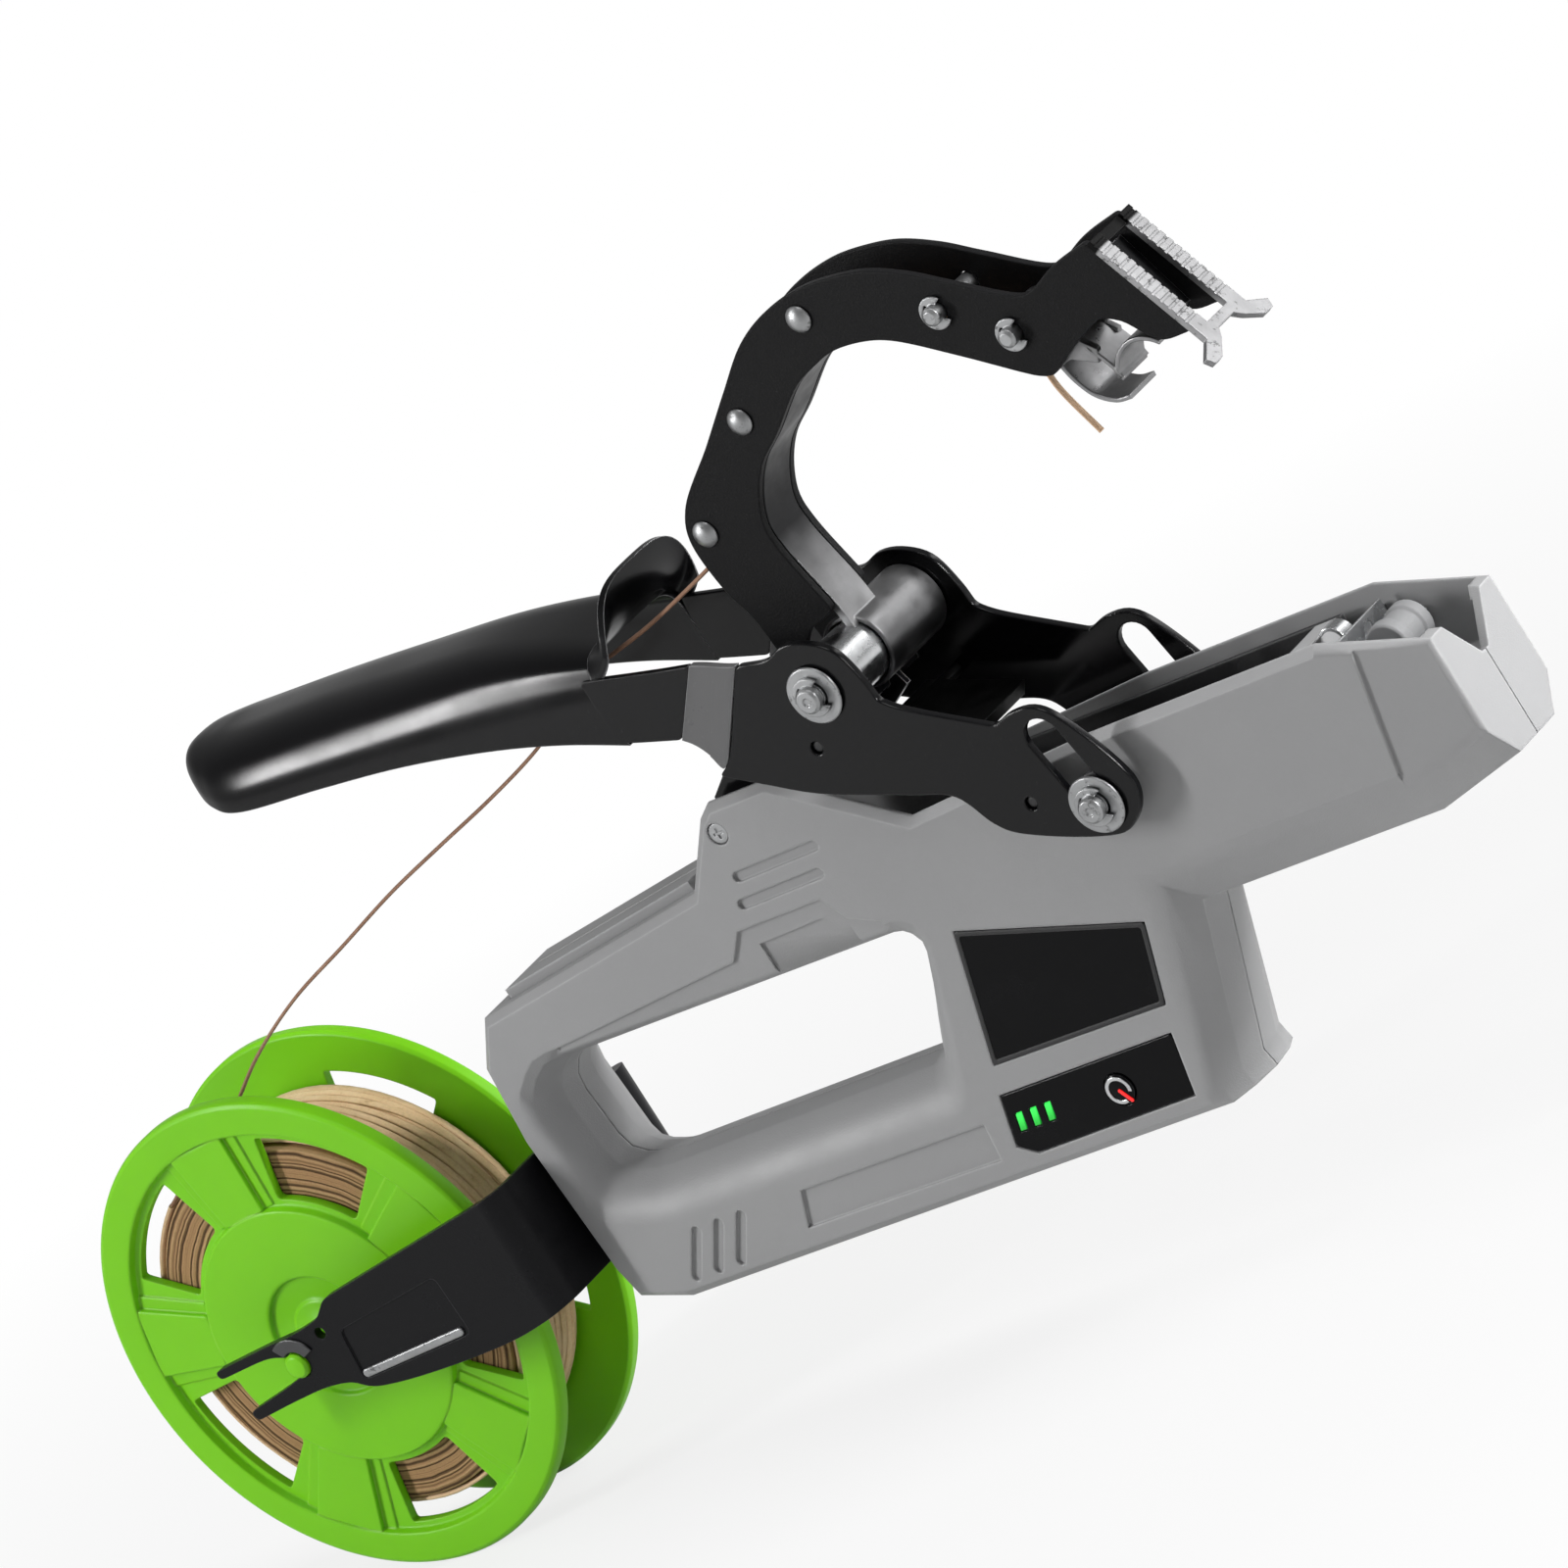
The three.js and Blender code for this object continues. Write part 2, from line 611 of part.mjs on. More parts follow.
function gearboxCase() {
  const high = gearboxFloor() + gearbox.height;
  const end = gearboxEnd();
  const block = box(
    [end - gearbox.length, end], [-gearbox.halfWidth, gearbox.halfWidth], [gearboxFloor(), high],
  );
  const outer = pinion.halfWidth + gap + gearbox.ear;
  const ear = (low) => box(
    [end - overrun, end + gearbox.earReach], [low, low + gearbox.ear], [gearboxFloor(), high],
  );
  const [x, z] = pinionPlace();
  const hole = rodY(pinion.hole, -outer - overrun, outer + overrun, [x, z], coarse);
  const shaftHole = rodX(
    motor.shaft + gap,
    end - gearbox.length - overrun,
    end - gearbox.length + motor.shaftLength + overrun,
    [0, motorHeight()],
    coarse,
  );
  return cut(join(block, ear(-outer), ear(outer - gearbox.ear)), hole, shaftHole);
}

const motorHeight = () => gearboxFloor() + gearbox.height / 2;

function driveMotor() {
  const end = gearboxEnd() - gearbox.length - gap;
  return join(
    rodX(motor.radius, end - motor.length, end, [0, motorHeight()]),
    rodX(motor.shaft, end - motor.radius, end + motor.shaftLength, [0, motorHeight()], coarse),
  );
}

function pinionPlace() {
  const [driverX] = driverPlace();
  return [
    driverX - driver.thickness / 2 - pinion.tip - gap, gearboxFloor() + gearbox.height * pinionHeightShare,
  ];
}

function drivePinion() {
  const [x, z] = pinionPlace();
  const step = 360 / pinion.teeth;
  const [valley, rise, fall] = toothShares.map((share) => share * step);
  const outline = Array.from({ length: pinion.teeth }, (_, i) => [
    ...arc([x, z], pinion.root, i * step, i * step + valley, 1),
    ...arc([x, z], pinion.tip, i * step + rise, i * step + fall, 1),
  ]).flat();
  const outer = pinion.halfWidth + gap + gearbox.ear;
  return join(
    prismY(outline, -pinion.halfWidth, pinion.halfWidth),
    rodY(pinion.shaft, -outer, outer, [x, z], coarse),
  );
}

function driverPlace() {
  const [x, z] = onHousing(driverShares);
  return [x, z - driver.travel];
}

function stapleDriver() {
  const [x, top] = driverPlace();
  const half = driver.thickness / 2;
  return box([x - half, x + half], [-driver.halfWidth, driver.halfWidth], [top - driver.height, top]);
}

// Staple magazine along the top slot.
const [magazineStart, magazineFloor] = onHousing(magazineShares);
const cutterPlace = onHousing([cutterShare, 0])[0];
const hookPlace = cutterPlace - gap - hook.sheet;
const magazineEnd = hookPlace + hook.sheet - hook.radius * 2 - gap * 2; // clear of the hook's back

function stapleMagazine() {
  const inner = magazine.halfWidth - magazine.wall;
  const low = magazineFloor;
  const start = magazineStart;
  const shell = box(
    [start, magazineEnd], [-magazine.halfWidth, magazine.halfWidth], [low, low + magazine.height],
  );
  const hollow = box(
    [start + magazine.wall, magazineEnd + overrun],
    [-inner, inner],
    [low + magazine.wall, low + magazine.height + overrun],
  );
  const rodHole = rodX(
    pusher.rod + gap, start - overrun, start + magazine.wall + overrun, [0, rodHeight()], coarse,
  );
  return cut(shell, hollow, rodHole);
}

const rodHeight = () => magazineFloor + magazine.wall + gap + staple.height + pusher.rod + gap;
const stripEnd = () => magazineEnd - gap * 4;

function stapleStrip() {
  const low = magazineFloor + magazine.wall + gap;
  const end = stripEnd();
  const inner = staple.halfWidth - staple.wire;
  const outer = box(
    [end - staple.length, end], [-staple.halfWidth, staple.halfWidth], [low, low + staple.height],
  );
  const under = box(
    [end - staple.length - overrun, end + overrun],
    [-inner, inner],
    [low - overrun, low + staple.height - staple.wire],
  );
  return cut(outer, under);
}

function staplePusher() {
  const end = stripEnd() - staple.length - gap;
  const low = magazineFloor + magazine.wall + gap;
  const half = staple.halfWidth;
  const top = rodHeight() + pusher.rod + pusher.cap;
  const block = box([end - pusher.length, end], [-half, half], [low, top]);
  return cut(
    block, rodX(pusher.rodHole, end - pusher.length - overrun, end + overrun, [0, rodHeight()], coarse),
  );
}

function pusherRod() {
  const start = magazineStart - pusher.rodEnd;
  return join(
    rodX(pusher.rod, start, stripEnd() - gate.length, [0, rodHeight()], coarse),
    rodX(pusher.knob, start - pusher.rod, magazineStart - gap, [0, rodHeight()], coarse),
  );
}

function magazineGate() {
  const end = stripEnd() + gap;
  const inner = magazine.halfWidth - magazine.wall - gap;
  const top = magazineFloor + magazine.height;
  return box([end - gate.length, end], [-inner, inner], [top - gate.height, top]);
}

// Cutter, hook and roller in the nose pocket.
const pocketFloor = () => onHousing([0, pocketFloorShare])[1] + gap;

function cutterPlate() {
  const x = cutterPlace;
  const low = pocketFloor();
  return box([x, x + cutter.plate], [-cutter.halfWidth, cutter.halfWidth], [low, low + cutter.height - gap]);
}

function cutterBlade() {
  const x = cutterPlace + cutter.plate + gap;
  const low = pocketFloor();
  const half = cutter.bladeHalfWidth;
  return box([x, x + cutter.blade], [-half, half], [low, low + cutter.bladeHeight - gap]);
}

function feedHook() {
  const [x, z] = [hookPlace, pocketFloor() + hook.foot];
  const centre = [x + hook.sheet - hook.radius, z];
  const crescent = [
    ...arc(centre, hook.radius, 0, hook.turn, 8),
    ...arc(centre, hook.radius - hook.sheet, hook.turn, 0, 8),
  ];
  const stem = box(
    [x, x + hook.sheet], [-hook.halfWidth, hook.halfWidth], [pocketFloor() + hook.base, z + gap],
  );
  return join(prismY(crescent, -hook.halfWidth, hook.halfWidth), stem);
}

const rollerPlace = () => [
  cutterPlace + cutter.plate + gap + cutter.blade + roller.clearance + roller.radius,
  onHousing([0, rollerHeightShare])[1],
];
const noseRoller = () => ringY(roller.radius, roller.pin + gap, roller.near, roller.far, rollerPlace());
const rollerPin = () => rodY(
  roller.pin, -housing.slotHalfWidth + gap, housing.slotHalfWidth - gap, rollerPlace(), coarse,
);

// Trigger paddle on the grip bar, with its switch.
function triggerPaddle() {
  const block = prismY(
    paddleBand(paddle.proud, paddle.depth - paddle.floorGap, 0), -paddle.halfWidth, paddle.halfWidth,
  );
  const groove = prismY(
    paddleBand(paddle.proud + overrun, -paddle.proud + paddle.groove, -paddle.grooveMargin),
    -paddle.grooveHalfWidth,
    paddle.grooveHalfWidth,
  );
  return cut(block, groove);
}

function microSwitch() {
  const [x, ceiling] = onHousing(switchShares);
  const low = ceiling + housing.wall + gap;
  const body = box([x, x + micro.length], [-micro.halfWidth, micro.halfWidth], [low, low + micro.height]);
  const plunger = new THREE.CylinderGeometry(micro.plungerRadius, micro.plungerRadius, micro.plunger, coarse);
  plunger.rotateX(Math.PI / 2).translate(
    x + micro.length / 2, 0, low + micro.height + micro.plunger / 2 - gap,
  );
  return join(body, plunger);
}

function shellScrew() {
  const at = onHousing(screwShares);
  const outer = -housing.halfWidth + gap;
  const head = rodY(screw.head, outer, outer + screw.headDepth - gap * 2, at);
  const shank = rodY(screw.shank, outer + gap, outer + screw.length, at, coarse);
  const cross = (turn) => box([-screw.shank, screw.shank], [-gap, gap], [-gap, gap])
    .rotateY(turn).translate(at[0], outer, at[1]);
  return cut(join(head, shank), cross(0), cross(Math.PI / 2));
}

// Pins, washers and clips of the two pivots.
const plateOuter = lever.inside + lever.sheet;
const washerLow = plateOuter + gap;
const clipLow = washerLow + pin.washerThickness + gap;
const pinReach = clipLow + pin.clipThickness + pin.tail;

const washer = (centre) => ringY(
  pin.washer, pin.hole, -washerLow - pin.washerThickness, -washerLow, centre, fine / 2,
);

function clip(centre, outerRadius, innerRadius, low, thickness) {
  const ring = ringY(outerRadius, innerRadius, -low - thickness, -low, centre);
  const mouth = box(
    [centre[0], centre[0] + outerRadius * 2],
    [-low - thickness - overrun, -low + overrun],
    [centre[1] - innerRadius / 2, centre[1] + innerRadius / 2],
  );
  return cut(ring, mouth);
}

const pivotClip = (centre) => clip(centre, pin.clip, pin.radius - gap / 2, clipLow, pin.clipThickness);

function fulcrumPin() {
  const head = rodY(pin.radius + 2 * gap, -housing.slotHalfWidth, -magazine.halfWidth - gap * 3, fulcrum);
  const shank = rodY(pin.radius, -pinReach, -magazine.halfWidth - gap * 3, fulcrum);
  return join(shank, head, pivotClip(fulcrum));
}

const spacer = () => ringY(fulcrumSpacer, pin.hole, -lever.inside + gap, -housing.halfWidth - gap, fulcrum);
const armPivotPin = () =>
  join(rodY(pin.radius, -pinReach, pinReach, armPin), pivotClip(armPin), mirrored(pivotClip(armPin)));

// Lever: two side plates that run on into the pressed handle.
const leverPlateShares = [
  [-0.3, 0.17], [-0.287, 0.159], [-0.076, 0.112], [-0.02, 0.126], [0.042, 0.115], [0.105, 0.073],
  [0.134, -0.014], [0.139, -0.067], [0.175, -0.097], [0.385, -0.217], [0.44, -0.203], [0.503, -0.209],
  [0.546, -0.244], [0.638, -0.44], [0.623, -0.493], [0.586, -0.529], [0.538, -0.546], [0.276, -0.459],
  [0.235, -0.422], [0.182, -0.335], [0.067, -0.291], [-0.154, -0.212], [-0.273, -0.148], [-0.383, -0.086],
  [-0.435, -0.027], [-0.42, 0.19],
];
const flankShares = [
  [-0.6, 0.06], [-0.495, 0.001], [-0.435, -0.027], [-0.36, -0.06], [-0.36, 0.18], [-0.45, 0.195],
  [-0.6, 0.225],
];
const leverSlotShares = [[0.485, -0.28], [0.522, -0.462]];
const dimpleShares = [[-0.085, -0.115], [0.357, -0.409]];
// Stations of the handle: x, half width, bottom edge and crest, and how square the arch is there.
const handleShares = [
  [-1.895, 0.3, 0.37, 0.4, 2.4], [-1.86, 0.63, 0.325, 0.408, 2.6], [-1.8, 0.87, 0.275, 0.405, 2.8],
  [-1.7, 1, 0.245, 0.397, 3], [-1.45, 1, 0.224, 0.387, 3], [-1.2, 1, 0.198, 0.37, 3.2],
  [-0.95, 1, 0.155, 0.35, 3.6], [-0.75, 1, 0.105, 0.315, 4.5], [-0.57, 1, 0.044, 0.268, 6],
];
// The roof's front edge turns up into a cupped lip with rounded corners.
const lipDegrees = [17, 81]; // lean at its root and at its tip
const lipPower = 3.2; // how square its corners are
const lipRootShare = 0.8; // of the sheet, where it starts inside the roof
const lipStepShares = [0, 0.35, 0.7, 1];
const archShares = [-1, -0.97, -0.86, -0.68, -0.36, 0, 0.36, 0.68, 0.86, 0.97, 1];

function archRing(x, halfWidth, low, high, power) {
  return archShares.map(
    (share) => [x, share * halfWidth, low + (high - low) * (1 - Math.abs(share) ** power) ** (1 / power)]
  );
}

function handleShell() {
  const rings = handleShares.map(([xShare, widthShare, lowShare, highShare, power]) => {
    const [x, low] = onLever([xShare, lowShare]);
    const high = onLever([xShare, highShare])[1];
    const half = handle.halfWidth * widthShare;
    const outer = archRing(x, half, low, high, power);
    const inner = archRing(x, half - handle.sheet, low, high - handle.sheet, power).reverse();
    return [...outer, ...inner];
  });
  return loft(rings, ([, y, z]) => [y, z]);
}

function handleLip() {
  const [xShare, , lowShare, highShare, power] = handleShares.at(-1);
  const [x, low] = onLever([xShare, lowShare]);
  const high = onLever([xShare, highShare])[1];
  const edge = archRing(x, handle.halfWidth, low, high, power).slice(1, -1);
  const shares = archShares.slice(1, -1);
  const [first, last] = lipDegrees.map(THREE.MathUtils.degToRad);
  const ring = (step) => {
    const outer = [];
    const inner = [];
    edge.forEach(([px, y, z], i) => {
      const reach = step * (1 - Math.abs(shares[i]) ** lipPower) ** (1 / lipPower);
      const lean = first + (last - first) * reach;
      const middle = (first + lean) / 2;
      const point = [
        px + reach * handle.lipLength * Math.cos(middle), z + reach * handle.lipLength * Math.sin(middle),
      ];
      outer.push([point[0], y, point[1]]);
      inner.push([point[0] + handle.sheet * Math.sin(lean), y, point[1] - handle.sheet * Math.cos(lean)]);
    });
    return [...outer, ...inner.reverse()];
  };
  const root = [
    ...edge.map(([px, y, z]) => [px - handle.lipRoot, y, z]),
    ...edge.map(([px, y, z]) => [px - handle.lipRoot, y, z - handle.sheet * lipRootShare]).reverse(),
  ];
  return loft([root, ...lipStepShares.map(ring)], ([, y, z]) => [y, z]);
}

function leverSheet() {
  const [slotTop, slotFoot] = leverSlotShares.map(onLever);
  const outer = lever.inside + lever.sheet;
  const plate = cut(
    prismY(rounded(leverPlateShares.map(onLever), lever.sheet, 3), -outer, -lever.inside),
    prismY(slotOutline(slotTop, slotFoot, lever.slotWidth), -outer - overrun, -lever.inside + overrun),
    rodY(pin.hole, -outer - overrun, -lever.inside + overrun, armPin),
    ...dimpleShares.map((place) =>
      rodY(lever.dimple, -outer - overrun, -outer + lever.sheet / 2, onLever(place), coarse)),
  );
  const flankOuter = handle.halfWidth;
  const flank = prismY(flankShares.map(onLever), -flankOuter, -flankOuter + handle.sheet);
  const bend = prismY(bendShares.map(onLever), -outer, -flankOuter + handle.sheet);
  const side = join(plate, flank, bend);
  return join(handleShell(), handleLip(), side, mirrored(side));
}

// The joint line where the flank steps out to the plate.
const bendShares = [[-0.435, -0.027], [-0.4, -0.04], [-0.4, 0.186], [-0.42, 0.19]];

const tongueShares = [
  [-0.445, -0.1], [-0.545, -0.17], [-0.52, -0.21], [-0.36, -0.235], [-0.12, -0.185], [-0.03, -0.14],
  [-0.05, -0.08], [-0.3, -0.08],
];

const tonguePinShares = [-0.085, -0.115];
const tongueHollowShares = [[-0.6, -0.3], [0, -0.105]];

function leverTongue() {
  const outline = tongueShares.map(onLever);
  const block = prismY(outline, -tongue.halfWidth, tongue.halfWidth);
  const [[left, low], [right, top]] = tongueHollowShares.map(onLever);
  const inside = tongue.halfWidth - tongue.sheet;
  const hollow = box([left, right], [-inside, inside], [low, top]);
  const crossPin = rodY(
    tongue.pin, -lever.inside + gap, lever.inside - gap, onLever(tonguePinShares), coarse,
  );
  return join(cut(block, hollow), crossPin);
}

const coreShares = [[-0.02, -0.162], [-0.03, -0.2], [0.2, -0.275], [0.222, -0.245]];
const corePinShares = [0.004, -0.185];

// The block passes down into the slot of the housing, so only its cross pin is as wide as the lever.
function laminatedCore() {
  const half = housing.slotHalfWidth - gap;
  const reach = lever.inside - gap;
  return join(
    prismY(coreShares.map(onLever), -half, half),
    rodY(core.pin, -reach, reach, onLever(corePinShares), coarse),
  );
}

// Arm: two side plates with a web on the hollow side.
const armPlateShares = [
  [-0.152, 0.01], [-0.174, 0.177], [-0.197, 0.241], [-0.209, 0.387], [-0.172, 0.456], [-0.018, 0.57],
  [0.105, 0.663], [0.219, 0.745], [0.319, 0.786], [0.44, 0.806], [0.537, 0.8], [0.627, 0.782],
  [0.723, 0.739], [0.809, 0.685], [0.96, 0.597], [0.997, 0.6], [1.075, 0.628], [1.186, 0.648], [1.306, 0.382],
  [1.223, 0.39], [1.158, 0.46], [1.113, 0.484], [1.043, 0.462], [0.974, 0.433], [0.923, 0.41], [0.889, 0.42],
  [0.861, 0.437], [0.734, 0.526], [0.589, 0.619], [0.523, 0.641], [0.433, 0.649], [0.362, 0.634],
  [0.292, 0.61], [0.171, 0.53], [0.087, 0.479], [0.029, 0.413], [-0.001, 0.349], [0, 0.29], [0.039, 0.123],
  [0, 0.108], [-0.05, 0.096], [-0.092, 0.056], [-0.108, 0.002], [-0.1, -0.05], [-0.13, -0.05],
];
const webShares = [
  [0.788, 0.488], [0.734, 0.526], [0.589, 0.619], [0.523, 0.641], [0.433, 0.649], [0.362, 0.634],
  [0.292, 0.61], [0.171, 0.53], [0.087, 0.479], [0.029, 0.413], [-0.001, 0.349], [0, 0.29], [0.039, 0.123], [0.051, 0.025],
];
const rivetShares = [[-0.156, 0.389], [0.104, 0.589], [0.403, 0.745]];
const tipPinShares = [[0.742, 0.638], [0.89, 0.529]];

// The plates stop at the sleeve of the web, which carries them on the pin.
function armPlate() {
  const outer = arm.inside + arm.sheet;
  const holes = [...rivetShares, ...tipPinShares].map((place) =>
    rodY(rivet.hole, -outer - overrun, -arm.inside + overrun, onArm(place), coarse));
  return cut(prismY(armPlateShares.map(onArm), -outer, -arm.inside), ...holes);
}

function armWeb() {
  const half = arm.inside - gap;
  const line = webShares.map(onArm);
  const band = [...line, ...offsetLine(line, arm.web).reverse()];
  const strip = prismY(band, -half, half);
  const sleeve = rodY(arm.hub, arm.sleeveNear, lever.inside - gap, armPin);
  const bore = rodY(arm.bush + gap, -half - overrun, lever.inside + overrun, armPin);
  return cut(join(strip, sleeve), bore);
}

// The same line moved sideways to its right.
function offsetLine(points, distance) {
  return points.map(([x, z], i) => {
    const [ax, az] = points[Math.max(0, i - 1)];
    const [bx, bz] = points[Math.min(points.length - 1, i + 1)];
    const length = Math.hypot(bx - ax, bz - az);
    return [x + ((bz - az) / length) * distance, z - ((bx - ax) / length) * distance];
  });
}

const armBush = () => ringY(arm.bush, pin.hole, -lever.inside + gap, lever.inside - gap, armPin);

function armRivet(place) {
  const at = onArm(place);
  const outer = arm.inside + arm.sheet + gap;
  const head = (low) => rodY(rivet.head, low, low + rivet.headThickness, at);
  return join(
    rodY(rivet.radius, -outer - gap, outer + gap, at, coarse),
    head(outer),
    head(-outer - rivet.headThickness),
  );
}

function tipPin(place) {
  const reach = arm.inside + arm.sheet + rivet.clipThickness + rivet.tail;
  const near = clip(
    onArm(place), rivet.clip, rivet.radius - gap / 2, arm.inside + arm.sheet + gap, rivet.clipThickness,
  );
  return join(rodY(rivet.radius, -reach, reach, onArm(place), coarse), near, mirrored(near));
}

// Tip: a bright fork plate between the arm plates, over a black block.
const forkFootShares = [1.207, 0.647];
const forkAimShares = [1.393, 0.237];

function tipFork() {
  const { halfWidth, window, length, prong, spread, prongHalf, notch, bridge } = fork;
  const half = [
    [0, halfWidth], [length - bridge, halfWidth], [length + bridge, halfWidth],
    [prong - prongHalf, spread + prongHalf], [prong, spread + prongHalf / 2], [prong, spread - prongHalf],
    [length + bridge + prongHalf, notch + prongHalf], [length + bridge, notch],
  ];
  const other = half.map(([s, y]) => [s, -y]).reverse();
  const plate = prismZ([...half, ...other].reverse(), -fork.thickness, 0);
  const opening = prismZ(
    [[-overrun, -window], [length, -window], [length, window], [-overrun, window]],
    -fork.thickness - overrun,
    overrun,
  );
  const pitch = (length - bridge) / fork.ribCount;
  const ribs = Array.from({ length: fork.ribCount }, (_, i) => {
    const start = bridge / 2 + i * pitch;
    return box(
      [start, start + pitch / 3], [-halfWidth - overrun, halfWidth + overrun], [-fork.ribDepth, overrun],
    );
  });
  const head = box([0, bridge], [-halfWidth, halfWidth], [-fork.thickness, -fork.thickness / 2]);
  const placed = join(cut(plate, opening, ...ribs), head);
  const [foot, aim] = [forkFootShares, forkAimShares].map(onArm);
  return placed.rotateY(Math.atan2(foot[1] - aim[1], aim[0] - foot[0])).translate(foot[0], 0, foot[1]);
}

const tipBlockShares = [
  [0.988, 0.56], [1.108, 0.61], [1.17, 0.6], [1.238, 0.41], [1.158, 0.475], [1.113, 0.5], [1.043, 0.48],
  [0.968, 0.5],
];
const tipBlock = () => prismY(tipBlockShares.map(onArm), -arm.inside + gap, arm.inside - gap);

// Curved spring holder under the tip, on an ear round the front pin.
const curlShares = [1.136, 0.323];
const curlRadiusShare = 0.078;
const curlDegrees = [172, 42];
const holderUpperShares = [[1.003, 0.452], [1.028, 0.41], [1.048, 0.37], [1.056, 0.33]];
const holderLowerShares = [[0.926, 0.43], [0.94, 0.375], [0.968, 0.325], [1.013, 0.295], [1.053, 0.29]];
const holderStrapShares = [
  [0.873, 0.52], [0.923, 0.415], [0.968, 0.42], [1.028, 0.39], [1.043, 0.42], [1.008, 0.458], [0.908, 0.535],
];

function tapeHolder() {
  const at = onArm(tipPinShares[1]);
  const half = holder.halfWidth;
  const leaf = (line) => prismY([...line, ...offsetLine(line, -holder.sheet).reverse()], -half, half);
  const [from, to] = curlDegrees;
  const centre = onArm(curlShares);
  const radius = arm.span * curlRadiusShare;
  const curl = [
    ...arc(centre, radius, from, to, 10),
    ...arc(centre, radius - holder.sheet, to, from, 10),
  ];
  const side = (low, high) => join(
    prismY(holderStrapShares.map(onArm), low, high), rodY(rivet.hole + holder.ear, low, high, at, coarse),
  );
  const body = join(
    prismY(curl, -half, half),
    leaf(holderUpperShares.map(onArm)),
    leaf(holderLowerShares.map(onArm)),
    side(-half, -half + holder.ear),
    side(half - holder.ear, half),
  );
  return cut(body, rodY(rivet.hole, -half - overrun, half + overrun, at, coarse));
}

// Reel: two flanges with windows on a hub, the roll and its outer turns.
const spokeShares = [0.24, 0.32]; // half width of a spoke at the disc and at the rim

function reelFlange() {
  const inner = reel.halfWidth - reel.flange;
  const web = reel.halfWidth - reel.step;
  const chamfer = reel.step / 2;
  const profile = [
    [0, inner], [reel.radius, inner], [reel.radius, reel.halfWidth - chamfer],
    [reel.radius - chamfer, reel.halfWidth], [reel.radius - reel.rim, reel.halfWidth],
    [reel.radius - reel.rim - chamfer, web], [reel.disc + chamfer, web], [reel.disc, reel.halfWidth],
    [reel.dishRadius, reel.halfWidth], [reel.dishRadius - chamfer, reel.halfWidth - chamfer],
    [reel.trunnion, reel.halfWidth - chamfer], [reel.trunnion, reel.trunnionReach - chamfer],
    [reel.trunnion - chamfer, reel.trunnionReach], [0, reel.trunnionReach],
  ].map(([r, y]) => new THREE.Vector2(r, y));
  const disc = new THREE.LatheGeometry(profile, fine);
  const step = 360 / reel.windows;
  const windows = Array.from({ length: reel.windows }, (_, i) => {
    const middle = reel.firstWindow + i * step;
    const [from, to] = [middle - reel.windowAngle / 2, middle + reel.windowAngle / 2];
    const outline = [
      ...arc([0, 0], reel.windowOuter, from, to, 5), ...arc([0, 0], reel.windowInner, to, from, 4),
    ];
    return prismY(outline, inner - overrun, reel.halfWidth + overrun);
  });
  const spokes = windows.map((_, i) => {
    const middle = THREE.MathUtils.degToRad(reel.firstWindow + (i + 0.5) * step);
    const [near, far] = [reel.disc - overrun, reel.radius - reel.rim + overrun];
    const [narrow, wide] = spokeShares.map((share) => reel.disc * share);
    const spoke = prismY(
      [[near, -narrow], [far, -wide], [far, wide], [near, narrow]],
      web - overrun,
      reel.halfWidth - chamfer,
    );
    return spoke.rotateY(-middle);
  });
  const flange = join(cut(facingSolid(disc), ...windows), ...spokes);
  return flange.translate(reelAxis[0], 0, reelAxis[1]);
}

// A lathe may come out inside out, depending on its profile's direction.
function facingSolid(geometry) {
  const bare = geometry.clone();
  bare.deleteAttribute('normal');
  bare.deleteAttribute('uv');
  const merged = mergeVertices(bare, 1e-4);
  const position = merged.attributes.position;
  const points = Array.from(
    { length: position.count }, (_, i) => [position.getX(i), position.getY(i), position.getZ(i)],
  );
  const index = [...merged.index.array];
  const kept = [];
  for (let i = 0; i < index.length; i += 3) {
    const [a, b, c] = index.slice(i, i + 3);
    if (a !== b && b !== c && a !== c) kept.push(a, b, c);
  }
  return facingOut(points, kept);
}

const rollHalfWidth = reel.halfWidth - reel.flange - gap;
const coreRadius = (winding.outer - winding.thickness) * Math.cos(Math.PI / winding.steps) - gap;
const reelHub = () => rodY(reel.hub, -rollHalfWidth, reel.halfWidth - reel.step, reelAxis, fine / 2);
const tapeRoll = () => ringY(coreRadius, reel.hub + gap, -rollHalfWidth, rollHalfWidth, reelAxis, fine);

// The outer layer is one unbroken helix, flat in section; it starts where the free tape leaves the reel.
const leaveDegrees = 122;
const windingSides = 6;

function windingRings() {
  const { loops, steps, width, thickness, outer } = winding;
  const middle = outer - thickness / 2;
  const travel = rollHalfWidth * 2 - width - gap * 2;
  const total = loops * steps;
  return Array.from({ length: total + 1 }, (_, i) => {
    const angle = THREE.MathUtils.degToRad(leaveDegrees) + (2 * Math.PI * i) / steps;
    const y = -travel / 2 + (travel * i) / total;
    return Array.from({ length: windingSides }, (_, side) => {
      const turn = (2 * Math.PI * (side + 0.5)) / windingSides;
      const radius = middle + (thickness / 2) * Math.sin(turn);
      return [
        reelAxis[0] + radius * Math.cos(angle),
        y + (width / 2) * Math.cos(turn),
        reelAxis[1] + radius * Math.sin(angle),
      ];
    });
  });
}

function tapeWinding() {
  const rings = windingRings();
  let least = Infinity;
  rings.slice(winding.steps).forEach((ring, i) => {
    ring.forEach((a) => rings[i].forEach((b) => {
      least = Math.min(least, Math.hypot(a[0] - b[0], a[1] - b[1], a[2] - b[2]));
    }));
  });
  console.log('least gap between two turns of the winding', least.toFixed(2), 'mm');
  return loft(rings);
}

